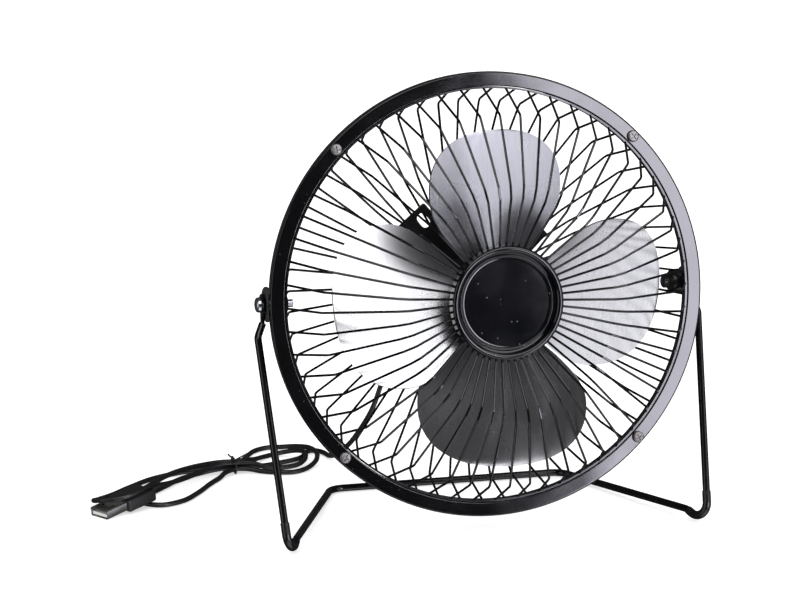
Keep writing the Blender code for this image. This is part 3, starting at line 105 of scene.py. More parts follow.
def panel(name, azimuth_deg, elevation_deg, distance, outline, colour, strength):
    """A studio card that faces the fan, seen only in reflections; its outline is right, up in metres."""
    azimuth, elevation = math.radians(azimuth_deg), math.radians(elevation_deg)
    away = Vector((
        math.sin(azimuth) * math.cos(elevation),
        -math.cos(azimuth) * math.cos(elevation),
        math.sin(elevation),
    ))
    right = Vector((math.cos(azimuth), math.sin(azimuth), 0))
    up = away.cross(right)
    centre = Vector((0, 0, 0.11)) + away * distance
    finish = bpy.data.materials.new(name)
    finish.use_nodes = True
    shader = finish.node_tree.nodes["Principled BSDF"]
    shader.inputs["Base Color"].default_value = (0.0, 0.0, 0.0, 1.0)
    shader.inputs["Specular IOR Level"].default_value = 0.0
    shader.inputs["Emission Color"].default_value = (*colour, 1.0)
    shader.inputs["Emission Strength"].default_value = strength
    form = bmesh.new()
    form.faces.new([form.verts.new(centre + right * x + up * z) for x, z in outline])
    sheet = bpy.data.meshes.new(name)
    form.to_mesh(sheet)
    form.free()
    sheet.materials.append(finish)
    card = bpy.data.objects.new(name, sheet)
    bpy.context.scene.collection.objects.link(card)
    card.visible_camera = False
    card.visible_shadow = False
    card.visible_diffuse = False
    return card


def oblong(width, height):
    x, z = width / 2, height / 2
    return [(-x, -z), (x, -z), (x, z), (-x, z)]


# Tall softbox to the right of the lens: its left edge is what cuts the front ring's face into
# a black half and a pale half, and its notch keeps the badge dark.
panel("softbox", 0, 0, 2.0, [
    (0.59, 0.50), (0.60, 0.24), (0.665, 0.11), (0.668, -0.10), (0.682, -0.27), (0.70, -0.60), (1.15, -0.60),
    (1.15, 0.50),
], (0.90, 0.88, 1.0), 14.0)
panel("card_right", 50, 2, 2.2, oblong(1.5, 2.4), (0.90, 0.90, 1.0), 1.35)
panel("card_above", 12, 52, 2.2, oblong(3.2, 1.5), (1.0, 1.0, 1.0), 2.9)
panel("card_below", 14, -50, 1.8, oblong(2.4, 1.6), (0.97, 0.97, 1.0), 1.35)
panel("card_left", -68, 4, 2.2, oblong(1.2, 1.8), (1.0, 1.0, 1.0), 1.3)

# ------------------------------------------------------------ lead
# Limp black lead in soft PVC. It leaves the motor cover through its strain relief, hangs to
# the table and lies there in two loops on each side of a wire tie.
lead_diameter = 0.0026
drop_route = (
    (-0.0124, 0.0630, 0.0930),
    (-0.0148, 0.0678, 0.0875),
    (-0.0205, 0.0700, 0.0760),
    (-0.0301, 0.0694, 0.0567),
    (-0.0362, 0.0725, 0.0380),
    (-0.0420, 0.0880, 0.0190),
    (-0.0448, 0.1030, 0.0088),
    (-0.0465, 0.1130, 0.0036),
    (-0.0476, 0.1200, 0.0016),
)
floor_route = (
    (-0.0487, 0.1262, 0.0014),
    (-0.0512, 0.1310, 0.0014),
    (-0.0556, 0.1318, 0.0014),
    (-0.0590, 0.1278, 0.0014),
    (-0.0610, 0.1223, 0.0014),
    (-0.0665, 0.1174, 0.0014),
    (-0.0750, 0.1139, 0.0014),
    (-0.0846, 0.1102, 0.0015),
    (-0.0930, 0.1083, 0.0024),
    (-0.1010, 0.1070, 0.00255),
    (-0.1090, 0.1068, 0.0024),
    (-0.1192, 0.1050, 0.0014),
    (-0.1310, 0.0970, 0.0014),
    (-0.1410, 0.0860, 0.0014),
    (-0.1490, 0.0770, 0.0014),
    (-0.1560, 0.0705, 0.0014),
    (-0.1580, 0.0640, 0.0014),
    (-0.1540, 0.0575, 0.0014),
    (-0.1466, 0.0545, 0.0014),
    (-0.1355, 0.0600, 0.0014),
    (-0.1260, 0.0719, 0.0014),
    (-0.1180, 0.0845, 0.0014),
    (-0.1110, 0.0940, 0.0015),
    (-0.1070, 0.0997, 0.0023),
    (-0.1010, 0.1039, 0.00255),
    (-0.0945, 0.1036, 0.0023),
    (-0.0875, 0.1005, 0.0014),
    (-0.0796, 0.0965, 0.0014),
    (-0.0710, 0.0955, 0.0014),
    (-0.0627, 0.1010, 0.0017),
    (-0.0565, 0.1100, 0.0030),
    (-0.0548, 0.1185, 0.0045),
    (-0.0568, 0.1275, 0.0046),
    (-0.0618, 0.1370, 0.0030),
    (-0.0685, 0.1430, 0.0014),
    (-0.0760, 0.1435, 0.0014),
    (-0.0840, 0.1385, 0.0014),
    (-0.0905, 0.1280, 0.0014),
    (-0.0958, 0.1158, 0.0023),
    (-0.1010, 0.1101, 0.00255),
    (-0.1085, 0.1109, 0.0023),
    (-0.1200, 0.1105, 0.0014),
    (-0.1300, 0.1085, 0.0014),
    (-0.1450, 0.1010, 0.0014),
    (-0.1580, 0.0895, 0.0014),
    (-0.1690, 0.0780, 0.0015),
    (-0.1780, 0.0675, 0.0027),
    (-0.1815, 0.0580, 0.0052),
    (-0.1780, 0.0505, 0.0074),
    (-0.1710, 0.0475, 0.0085),
    (-0.1640, 0.0487, 0.0096),
    (-0.1560, 0.0545, 0.0110),
    (-0.1464, 0.0675, 0.0110),
    (-0.1375, 0.0836, 0.0088),
    (-0.1287, 0.0960, 0.0069),
    (-0.1190, 0.1040, 0.0059),
    (-0.1090, 0.1086, 0.0054),
    (-0.1010, 0.1086, 0.00535),
    (-0.0940, 0.1108, 0.0050),
    (-0.0880, 0.1180, 0.0030),
    (-0.0800, 0.1275, 0.0014),
    (-0.0706, 0.1310, 0.0018),
    (-0.0637, 0.1262, 0.0038),
    (-0.0607, 0.1195, 0.0045),
    (-0.0622, 0.1125, 0.0028),
    (-0.0670, 0.1080, 0.0015),
    (-0.0750, 0.1050, 0.0014),
    (-0.0840, 0.1042, 0.0022),
    (-0.0920, 0.1052, 0.0049),
    (-0.1010, 0.1054, 0.00535),
    (-0.1100, 0.1039, 0.0052),
    (-0.1210, 0.0965, 0.0044),
    (-0.1310, 0.0860, 0.0048),
    (-0.1410, 0.0738, 0.0066),
)

rest_tilt = math.radians(6.15)
tilt_axis = next(j for j in frame["joints"] if j["name"] == "head_tilt")
tilt_height = tilt_axis["pos_m"][2]
head_place = Matrix.Translation((0, 0, tilt_height)) @ Matrix.Rotation(math.pi / 2 - rest_tilt, 4, "X")
head_turn = head_place.to_3x3()
relief_axis = Vector((-0.0120, -0.0125, 0))
relief_tip = -0.0571
relief_end = head_place @ (relief_axis + Vector((0, 0, relief_tip)))
relief_out = (head_turn @ Vector((0, 0, -1))).normalized()

plug_rear = Vector((-0.1545, 0.0627, 0.0065))
plug_place = (
    Matrix.Translation(plug_rear)
    @ Matrix.Rotation(math.radians(213.0), 4, "Z")
    @ Matrix.Rotation(math.radians(7.6), 4, "Y")
)
plug_relief_length = 0.0060
plug_end = plug_place @ Vector((-plug_relief_length, 0, 0))
plug_out = (plug_place.to_3x3() @ Vector((-1, 0, 0))).normalized()


def smooth_line(points, samples=12):
    """A Catmull-Rom curve through the points."""
    points = [Vector(p) for p in points]
    ends = [points[0] * 2 - points[1], *points, points[-1] * 2 - points[-2]]
    fine = [points[0]]
    for a, b, c, d in zip(ends, ends[1:], ends[2:], ends[3:]):
        for i in range(1, samples + 1):
            t = i / samples
            fine.append(
                0.5 * (2 * b + (c - a) * t + (2 * a - 5 * b + 4 * c - d) * t ** 2
                       + (3 * b - a - 3 * c + d) * t ** 3)
            )
    return fine


def even_line(points, step):
    """The same line with its points one step apart."""
    total = sum((q - p).length for p, q in zip(points, points[1:]))
    count = max(2, round(total / step))
    even = [points[0]]
    passed = 0.0
    for p, q in zip(points, points[1:]):
        length = (q - p).length
        while len(even) < count and passed + length >= total * len(even) / count:
            even.append(p.lerp(q, (total * len(even) / count - passed) / length))
        passed += length
    even.append(points[-1])
    return even


def tube(name, runs, radius, sides_resolution=3, closed=False):
    """Round wire or cord along lists of points, welded into one mesh with its normals out."""
    curve = bpy.data.curves.new(name, "CURVE")
    curve.dimensions = "3D"
    curve.bevel_depth = radius
    curve.bevel_resolution = sides_resolution
    curve.use_fill_caps = True
    for run in runs:
        spline = curve.splines.new("POLY")
        spline.points.add(len(run) - 1)
        for point, at in zip(spline.points, run):
            point.co = (*at, 1)
        spline.use_cyclic_u = closed
    carrier = bpy.data.objects.new(name, curve)
    bpy.context.scene.collection.objects.link(carrier)
    bpy.context.view_layer.update()
    graph = bpy.context.evaluated_depsgraph_get()
    mesh = bpy.data.meshes.new_from_object(carrier.evaluated_get(graph))
    bpy.data.objects.remove(carrier)
    bpy.data.curves.remove(curve)
    form = bmesh.new()
    form.from_mesh(mesh)
    bmesh.ops.remove_doubles(form, verts=form.verts, dist=1e-6)
    bmesh.ops.recalc_face_normals(form, faces=form.faces)
    form.to_mesh(mesh)
    form.free()
    mesh.name = name
    return mesh


def piece(name, mesh, finish, body, replaced=(), sharp_deg=40.0):
    """Put a finished mesh in the scene on its body, shaded smooth with sharp edges kept."""
    mesh.name = name
    mesh.materials.clear()
    mesh.materials.append(finish)
    mesh.shade_smooth()
    mesh.set_sharp_from_angle(angle=math.radians(sharp_deg))
    made = bpy.data.objects.new(name, mesh)
    bpy.context.scene.collection.objects.link(made)
    if body:
        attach(made, body)
    if replaced:
        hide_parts(*replaced)
    return made


def grain_group():
    """Fine mottling for any moulded or painted surface: a roughness value, a tint and a normal."""
    group = bpy.data.node_groups.new("surface_grain", "ShaderNodeTree")
    for label, kind, value in (
        ("Scale", "NodeSocketFloat", 900.0),
        ("Roughness Low", "NodeSocketFloat", 0.2),
        ("Roughness High", "NodeSocketFloat", 0.4),
        ("Bump", "NodeSocketFloat", 0.1),
        ("Dark", "NodeSocketColor", (0.01, 0.01, 0.01, 1)),
        ("Light", "NodeSocketColor", (0.02, 0.02, 0.02, 1)),
        ("Dust", "NodeSocketFloat", 0.0),
    ):
        socket = group.interface.new_socket(name=label, in_out="INPUT", socket_type=kind)
        socket.default_value = value
    group.interface.new_socket(name="Color", in_out="OUTPUT", socket_type="NodeSocketColor")
    group.interface.new_socket(name="Roughness", in_out="OUTPUT", socket_type="NodeSocketFloat")
    group.interface.new_socket(name="Normal", in_out="OUTPUT", socket_type="NodeSocketVector")
    nodes, links = group.nodes, group.links
    inlet = nodes.new("NodeGroupInput")
    outlet = nodes.new("NodeGroupOutput")
    place = nodes.new("ShaderNodeTexCoord")
    fine = nodes.new("ShaderNodeTexNoise")
    fine.inputs["Detail"].default_value = 4.0
    links.new(place.outputs["Object"], fine.inputs["Vector"])
    links.new(inlet.outputs["Scale"], fine.inputs["Scale"])
    broad = nodes.new("ShaderNodeTexNoise")
    broad.inputs["Scale"].default_value = 45.0
    broad.inputs["Detail"].default_value = 3.0
    links.new(place.outputs["Object"], broad.inputs["Vector"])
    rough = nodes.new("ShaderNodeMapRange")
    rough.inputs["From Min"].default_value = 0.35
    rough.inputs["From Max"].default_value = 0.65
    links.new(broad.outputs["Fac"], rough.inputs["Value"])
    links.new(inlet.outputs["Roughness Low"], rough.inputs["To Min"])
    links.new(inlet.outputs["Roughness High"], rough.inputs["To Max"])
    tint = nodes.new("ShaderNodeMix")
    tint.data_type = "RGBA"
    links.new(fine.outputs["Fac"], tint.inputs["Factor"])
    links.new(inlet.outputs["Dark"], tint.inputs[6])
    links.new(inlet.outputs["Light"], tint.inputs[7])
    specks = nodes.new("ShaderNodeTexVoronoi")
    specks.inputs["Scale"].default_value = 260.0
    links.new(place.outputs["Object"], specks.inputs["Vector"])
    near = nodes.new("ShaderNodeMapRange")
    near.inputs["From Min"].default_value = 0.10
    near.inputs["From Max"].default_value = 0.04
    links.new(specks.outputs["Distance"], near.inputs["Value"])
    amount = nodes.new("ShaderNodeMath")
    amount.operation = "MULTIPLY"
    links.new(near.outputs["Result"], amount.inputs[0])
    links.new(inlet.outputs["Dust"], amount.inputs[1])
    dusty = nodes.new("ShaderNodeMix")
    dusty.data_type = "RGBA"
    dusty.inputs[7].default_value = (0.5, 0.5, 0.5, 1)
    links.new(amount.outputs["Value"], dusty.inputs["Factor"])
    links.new(tint.outputs[2], dusty.inputs[6])
    links.new(dusty.outputs[2], outlet.inputs["Color"])
    links.new(rough.outputs["Result"], outlet.inputs["Roughness"])
    bump = nodes.new("ShaderNodeBump")
    bump.inputs["Distance"].default_value = 0.00005
    links.new(inlet.outputs["Bump"], bump.inputs["Strength"])
    links.new(fine.outputs["Fac"], bump.inputs["Height"])
    links.new(bump.outputs["Normal"], outlet.inputs["Normal"])
    return group


surface_grain = grain_group()


def grained(name, dark, light, low, high, scale=900.0, bump=0.1, metallic=0.0, dust=0.0, ior_level=0.5):
    """A finish with the shared grain and its own colours, gloss and metal."""
    finish = bpy.data.materials.new(name)
    finish.use_nodes = True
    nodes, links = finish.node_tree.nodes, finish.node_tree.links
    shader = nodes["Principled BSDF"]
    shader.inputs["Metallic"].default_value = metallic
    shader.inputs["Specular IOR Level"].default_value = ior_level
    grain = nodes.new("ShaderNodeGroup")
    grain.node_tree = surface_grain
    grain.inputs["Scale"].default_value = scale
    grain.inputs["Roughness Low"].default_value = low
    grain.inputs["Roughness High"].default_value = high
    grain.inputs["Bump"].default_value = bump
    grain.inputs["Dark"].default_value = (*dark, 1)
    grain.inputs["Light"].default_value = (*light, 1)
    grain.inputs["Dust"].default_value = dust
    links.new(grain.outputs["Color"], shader.inputs["Base Color"])
    links.new(grain.outputs["Roughness"], shader.inputs["Roughness"])
    links.new(grain.outputs["Normal"], shader.inputs["Normal"])
    return finish


lead_finish = grained("lead_pvc", (0.006, 0.006, 0.007), (0.014, 0.014, 0.015), 0.30, 0.42, 1400.0, 0.25)
lead_line = even_line(
    smooth_line([
        relief_end, relief_end + relief_out * 0.0035, *drop_route, *floor_route,
        plug_end + plug_out * 0.004, plug_end,
    ]),
    0.0016,
)
lead = piece("lead", tube("lead", [lead_line], lead_diameter / 2, 4), lead_finish, None,
             ("cord_drop", "cord_floor"))
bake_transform(lead)

# ------------------------------------------------------------ plug
# USB plug: a soft moulded grip with a short ribbed tail, a folded tin-plated shell with two
# latch windows, and the white tongue inside.
grip_length, grip_width, grip_thickness = 0.0185, 0.0155, 0.0064
shell_length, shell_width, shell_thickness, shell_wall = 0.0130, 0.0120, 0.0045, 0.0003
seam = 0.0003
grip_finish = grained("grip_rubber", (0.010, 0.010, 0.011), (0.020, 0.020, 0.021), 0.38, 0.52, 1800.0, 0.4)


def block(size, centre=(0, 0, 0), round_by=0.0, segments=3):
    """A block with rounded edges, as an open bmesh."""
    form = bmesh.new()
    bmesh.ops.create_cube(form, size=1.0)
    bmesh.ops.scale(form, vec=size, verts=form.verts)
    if round_by:
        bmesh.ops.bevel(form, geom=form.edges[:], offset=round_by, segments=segments,
                        profile=0.5, affect="EDGES", material=-1)
    bmesh.ops.translate(form, vec=centre, verts=form.verts)
    return form


def as_mesh(form, name, place=Matrix.Identity(4)):
    bmesh.ops.transform(form, matrix=place, verts=form.verts)
    mesh = bpy.data.meshes.new(name)
    form.to_mesh(mesh)
    form.free()
    return mesh


def add_mesh(form, mesh):
    """Add a finished mesh to a bmesh."""
    form.from_mesh(mesh)
    bpy.data.meshes.remove(mesh)
    return form


def turned(name, profile, steps=64, place=Matrix.Identity(4)):
    """Spin an (r, z) profile round Z into a closed piece."""
    form = bmesh.new()
    verts = [form.verts.new((r, 0, z)) for r, z in profile]
    edges = [form.edges.new(pair) for pair in zip(verts, verts[1:])]
    if profile[0][0] > 1e-7 or profile[-1][0] > 1e-7:
        edges.append(form.edges.new((verts[-1], verts[0])))
    bmesh.ops.spin(form, geom=verts + edges, cent=(0, 0, 0), axis=(0, 0, 1), angle=2 * math.pi,
                   steps=steps, use_merge=True)
    bmesh.ops.remove_doubles(form, verts=form.verts, dist=1e-7)
    bmesh.ops.recalc_face_normals(form, faces=form.faces)
    return as_mesh(form, name, place)


grip = block((grip_length, grip_width, grip_thickness), (grip_length / 2, 0, 0), 0.0013, 4)
tail_profile = [(0, 0.0006), (0.0027, 0.0006)]
for rib in range(4):
    along = rib / 4
    base = 0.0026 + (0.0016 - 0.0026) * along
    z = -plug_relief_length * along
    tail_profile += [(base, z), (base, z - 0.0009), (base - 0.00035, z - 0.0010), (base - 0.00035, z - 0.0014)]
tail_profile += [(0.0015, -plug_relief_length), (0, -plug_relief_length)]
along_plug = Matrix.Rotation(math.pi / 2, 4, "Y")
add_mesh(grip, turned("grip_tail", tail_profile, 24, along_plug))
plug_grip = piece("plug_grip", as_mesh(grip, "plug_grip", plug_place), grip_finish, "stand", ("plug_body",))

tin = grained("tin_plate", (0.60, 0.59, 0.57), (0.80, 0.79, 0.77), 0.18, 0.32, 1200.0, 0.05, metallic=1.0)
shell_start = grip_length + seam
shell = bmesh.new()
bmesh.ops.create_cube(shell, size=1.0)
bmesh.ops.scale(shell, vec=(shell_length, shell_width, shell_thickness), verts=shell.verts)
bmesh.ops.translate(shell, vec=(shell_start + shell_length / 2, 0, 0), verts=shell.verts)
long_edges = [e for e in shell.edges if abs((e.verts[0].co - e.verts[1].co).x) > 0.9 * shell_length]
bmesh.ops.bevel(shell, geom=long_edges, offset=0.0007, segments=3, profile=0.5, affect="EDGES", material=-1)
mouth = [f for f in shell.faces if f.calc_center_median().x > shell_start + 0.99 * shell_length]
bmesh.ops.delete(shell, geom=mouth, context="FACES")
shell_mesh = as_mesh(shell, "plug_shell_skin")
shell_carrier = bpy.data.objects.new("shell_carrier", shell_mesh)
bpy.context.scene.collection.objects.link(shell_carrier)
walls = shell_carrier.modifiers.new("walls", "SOLIDIFY")
walls.thickness = shell_wall
walls.offset = -1
windows = bmesh.new()
for side in (-1, 1):
    window = block((0.0026, 0.0022, 0.012), (shell_start + 0.0072, side * 0.0030, 0))
    add_mesh(windows, as_mesh(window, "window"))
window_cutter = bpy.data.objects.new("window_cutter", as_mesh(windows, "window_cutter"))
bpy.context.scene.collection.objects.link(window_cutter)
cut = shell_carrier.modifiers.new("windows", "BOOLEAN")
cut.operation = "DIFFERENCE"
cut.object = window_cutter
bpy.context.view_layer.update()
graph = bpy.context.evaluated_depsgraph_get()
finished_shell = bpy.data.meshes.new_from_object(shell_carrier.evaluated_get(graph))
bpy.data.objects.remove(shell_carrier)
bpy.data.objects.remove(window_cutter)
finished_shell.transform(plug_place)
plug_tin = piece("plug_tin", finished_shell, tin, "stand", ("plug_shell",))


def carried(node, finish, sharp_deg=35.0):
    """A CAD piece whose shape is right: its surface is merged, shaded smooth and given its finish."""
    mesh = frame["nodes"][node].data.copy()
    form = bmesh.new()
    form.from_mesh(mesh)
    bmesh.ops.remove_doubles(form, verts=form.verts, dist=1e-6)
    form.to_mesh(mesh)
    form.free()
    body = next(b for b, names in frame["record"]["behaviour"]["bodies"].items() if node in names)
    return piece(node + "_finish", mesh, finish, body, (node,), sharp_deg)


tongue_finish = grained("tongue_white", (0.60, 0.60, 0.58), (0.72, 0.72, 0.70), 0.30, 0.40, 900.0, 0.05)
plug_tongue = carried("plug_tongue", tongue_finish)

# ------------------------------------------------------------ wire tie
# Thin plastic-covered wire tie, turned once round the five passes of the lead and twisted shut.
tie_finish = grained("tie_black", (0.008, 0.008, 0.009), (0.022, 0.022, 0.023), 0.45, 0.6, 1500.0, 0.4)
tie = carried("cord_tie", tie_finish, 50.0)

# ------------------------------------------------------------ strain relief
# Soft tapered sleeve moulded on the lead, with its neck snapped into the motor cover.
relief_finish = grained("relief_pvc", (0.009, 0.009, 0.010), (0.018, 0.018, 0.019), 0.35, 0.5, 1500.0, 0.3)
relief = carried("cord_relief", relief_finish, 30.0)

# ------------------------------------------------------------ stand
# One length of 3.6 mm steel wire, bent into legs and base and enamelled black. Its ends are
# flattened into eyelets for the pivot screws.
enamel = grained("black_enamel", (0.0012, 0.0012, 0.0018), (0.0028, 0.0028, 0.0036), 0.06, 0.12, 500.0, 0.03,
                 dust=0.10)
wire_radius = 0.0018
neck_drop, knee_drop = 0.0092, 0.0150
knee_x, knee_y = 0.1106, -0.0030
foot_x, foot_y = 0.1042, -0.0415
rear_x, rear_y = 0.0607, 0.0595
foot_bend, rear_bend = 0.0060, 0.0090
foot_rest = 0.0024
toe_length, toe_rise = 0.0150, 0.0024
eyelet_x, eyelet_radius, eyelet_thickness, eyelet_bore = 0.1076, 0.0052, 0.0015, 0.0022


def bent(points, radius, steps):
    """A line whose inner corners are bent to the given radius."""
    points = [Vector(p) for p in points]
    path = [points[0]]
    for before, corner, after in zip(points, points[1:], points[2:]):
        into = (before - corner).normalized()
        out = (after - corner).normalized()
        half = into.angle(out) / 2
        centre = corner + (into + out).normalized() * (radius / math.sin(half))
        start = corner + into * (radius / math.tan(half)) - centre
        end = corner + out * (radius / math.tan(half)) - centre
        axis = start.cross(end)
        turn = start.angle(end)
        for i in range(steps + 1):
            path.append(centre + Matrix.Rotation(turn * i / steps, 3, axis) @ start)
    path.append(points[-1])
    return path


def stand_half(side):
    """Half of the stand's centreline; the foot's bend is lowered until it rests on the table."""
    sink = 0.0
    for _ in range(4):
        neck = Vector((side * eyelet_x, 0, tilt_height - neck_drop))
        knee = Vector((side * knee_x, knee_y, tilt_height - knee_drop))
        foot = Vector((side * foot_x, foot_y, foot_rest - sink))
        rear = Vector((side * rear_x, rear_y, wire_radius))
        toe = foot + (rear - foot).normalized() * toe_length
        toe.z = foot_rest + toe_rise
        upper = bent([neck, knee, foot, toe], foot_bend, 12)
        sink += min(p.z for p in upper) - foot_rest
    lower = bent([foot, toe, rear, Vector((0, rear_y, wire_radius))], rear_bend, 14)
    return upper[:-1] + lower[1:], foot


right_half, right_foot = stand_half(1)
left_half, left_foot = stand_half(-1)
stand_wire = bmesh.new()
stand_wire.from_mesh(tube("stand_wire", [right_half + left_half[::-1][1:]], wire_radius, 6))
for side in (1, -1):
    lay = Matrix.Translation((side * eyelet_x, 0, tilt_height)) @ Matrix.Rotation(math.pi / 2, 4, "Y")
    half = eyelet_thickness / 2
    soft = 0.0003
    add_mesh(stand_wire, turned("eyelet", [
        (eyelet_bore, half), (eyelet_radius - soft, half), (eyelet_radius, half - soft),
        (eyelet_radius, soft - half), (eyelet_radius - soft, -half), (eyelet_bore, -half),
    ], 48, lay))
    neck = block((eyelet_thickness * 0.96, 0.0036, 0.0062), (0, 0, 0), 0.0004, 2)
    top = [v for v in neck.verts if v.co.z > 0]
    bmesh.ops.scale(neck, vec=(1.0, 1.35, 1.0), verts=top)
    at = Matrix.Translation((side * eyelet_x, 0, tilt_height - 0.0079))
    add_mesh(stand_wire, as_mesh(neck, "neck", at))
stand_skin = as_mesh(stand_wire, "stand_skin")
piece("stand_skin", stand_skin, enamel, "stand", ("stand_frame",), 35.0)

# Thin black shrink sleeves are pushed over both front feet so that they don't scratch the table.
sleeve_finish = grained("foot_sleeve", (0.003, 0.003, 0.004), (0.007, 0.007, 0.008), 0.18, 0.28, 1500.0, 0.2)
sleeve_radius, sleeve_up_leg, sleeve_along_base, sleeve_step = 0.00214, 0.0120, 0.0100, 0.0008


def sleeve_run(path, foot):
    """The stretch of the stand's centreline that a foot sleeve covers."""
    fine = even_line(path, sleeve_step)
    lowest = min(range(len(fine)), key=lambda i: (fine[i] - foot).length)
    first = lowest - round(sleeve_up_leg / sleeve_step)
    last = lowest + round(sleeve_along_base / sleeve_step)
    return fine[first:last + 1]


for label, path, foot in (("left", left_half, left_foot), ("right", right_half, right_foot)):
    sleeve = tube("sleeve", [sleeve_run(path, foot)], sleeve_radius, 5)
    covered = f"foot_sleeve_{label}"
    piece(covered + "_skin", sleeve, sleeve_finish, "stand", (covered,), 50.0)

# ------------------------------------------------------------ tilt pivots
# Each side has a zinc-plated pan-head screw through the eyelet, a rubber washer, the lug on
# the rear ring, and a black domed nut inside. The right-hand nut is closed over the screw's tip.
zinc = grained("zinc_plate", (0.50, 0.51, 0.56), (0.68, 0.69, 0.74), 0.20, 0.34, 1500.0, 0.08, metallic=1.0)
nut_paint = grained("nut_black", (0.006, 0.006, 0.007), (0.014, 0.014, 0.015), 0.22, 0.34, 900.0, 0.15)
washer_rubber = grained("washer_rubber", (0.020, 0.021, 0.023), (0.036, 0.037, 0.040), 0.6, 0.75, 1600.0, 0.5)
lug_paint = grained("lug_black", (0.005, 0.005, 0.006), (0.012, 0.012, 0.013), 0.16, 0.28, 900.0, 0.1)


def cross_recess(form_mesh, place, span, depth, width=0.18):
    """Cut a cross into a screw's head; place puts +Z out of the head with z = 0 on its top."""
    cutters = bmesh.new()
    for turn in (0, 90):
        bar = block((span, span * width, depth * 2))
        bmesh.ops.bevel(bar, geom=bar.edges[:], offset=span * 0.04, segments=1, profile=0.5,
                        affect="EDGES", material=-1)
        add_mesh(cutters, as_mesh(bar, "bar", Matrix.Rotation(math.radians(turn), 4, "Z")))
    tool = bpy.data.objects.new("recess", as_mesh(cutters, "recess", place))
    target = bpy.data.objects.new("screw", form_mesh)
    for helper in (tool, target):
        bpy.context.scene.collection.objects.link(helper)
    cut = target.modifiers.new("recess", "BOOLEAN")
    cut.operation = "DIFFERENCE"
    cut.object = tool
    cut.use_self = True
    bpy.context.view_layer.update()
    graph = bpy.context.evaluated_depsgraph_get()
    mesh = bpy.data.meshes.new_from_object(target.evaluated_get(graph))
    bpy.data.objects.remove(tool)
    bpy.data.objects.remove(target)
    return mesh


def pan_head_profile(radius, height, shank, tip):
    """Outline of a pan-head screw with its head's underside at z = 0."""
    crown = [(0, height)]
    for i in range(1, 7):
        t = math.radians(90 * i / 6)
        crown.append((radius * (0.55 + 0.45 * math.sin(t)), height * (0.35 + 0.65 * math.cos(t))))
    return crown + [(radius, 0), (shank, 0), (shank, tip), (0, tip)]


pivot_head_radius, pivot_head_height, pivot_shank = 0.0037, 0.0024, 0.0019
pivot_head_inner = 0.10865
pivot_tip = 0.0929
nut_outer, nut_inner, nut_shoulder = 0.10255, 0.0956, 0.09935
nut_radius, nut_mouth, nut_bore, nut_soft = 0.0060, 0.0032, 0.0021, 0.0003
for side, label in ((1, "right"), (-1, "left")):
    lay = Matrix.Rotation(math.radians(90 * side), 4, "Y")
    head_at = lay @ Matrix.Translation((0, 0, pivot_head_inner))
    place = Matrix.Translation((0, 0, tilt_height)) @ head_at
    outline = pan_head_profile(pivot_head_radius, pivot_head_height, pivot_shank, pivot_tip - pivot_head_inner)
    screw = turned("pivot_screw", outline, 40, place)
    top = place @ Matrix.Translation((0, 0, pivot_head_height)) @ Matrix.Rotation(0.5, 4, "Z")
    screw = cross_recess(screw, top, 0.0042, 0.0012)
    piece(f"pivot_screw_{label}_skin", screw, zinc, "stand", (f"pivot_screw_{label}",), 30.0)
    carried(f"pivot_washer_{label}", washer_rubber, 30.0)
    carried(f"pivot_lug_{label}", lug_paint, 30.0)
    dome = [
        (nut_bore, nut_outer), (nut_radius - nut_soft, nut_outer), (nut_radius, nut_outer - nut_soft),
        (nut_radius, nut_shoulder),
    ]
    for i in range(1, 8):
        t = math.radians(90 * i / 8)
        dome.append((
            nut_mouth + (nut_radius - nut_mouth) * math.cos(t),
            nut_shoulder - (nut_shoulder - nut_inner) * math.sin(t),
        ))
    if side > 0:
        dome += [
            (nut_mouth, nut_inner), (0.0031, 0.0932), (0.0022, 0.0925), (0, 0.0924), (0, 0.0928),
            (nut_bore, 0.0930),
        ]
    else:
        dome.append((nut_bore, nut_inner))
    nut = turned("pivot_nut", dome, 48, Matrix.Translation((0, 0, tilt_height)) @ lay)
    piece(f"pivot_nut_{label}_skin", nut, nut_paint, "stand", (f"pivot_nut_{label}",), 35.0)

# ------------------------------------------------------------ rings
# Two pressed steel rings clamp the guards. The front ring is a flat band turned back at its
# edge, in thick gloss enamel, and the rear ring lies inside it.
ring_radius, ring_inner = 0.107, 0.1002
ring_front, ring_back, ring_sheet = 0.01645, 0.01095, 0.0009
rim_soft, inner_soft, back_soft = 0.0009, 0.00025, 0.0002
ring_outline = [
    (ring_inner, ring_front - inner_soft),
    (ring_inner + inner_soft, ring_front),
    (ring_inner + 2 * inner_soft, ring_front),
    (ring_radius - rim_soft - 0.0003, ring_front),
]
for i in range(7):
    t = math.radians(90 * i / 6)
    ring_outline.append((
        ring_radius - rim_soft + rim_soft * math.sin(t),
        ring_front - rim_soft + rim_soft * math.cos(t),
    ))
ring_outline += [
    (ring_radius, ring_back + back_soft),
    (ring_radius - back_soft, ring_back),
    (ring_radius - ring_sheet, ring_back),
    (ring_radius - ring_sheet, ring_front - ring_sheet),
    (ring_inner, ring_front - ring_sheet),
]
ring_skin = turned("front_ring_skin", ring_outline, 180, head_place)
piece("front_ring_skin", ring_skin, enamel, "head", ("front_ring",), 50.0)
carried("rear_ring", enamel, 40.0)

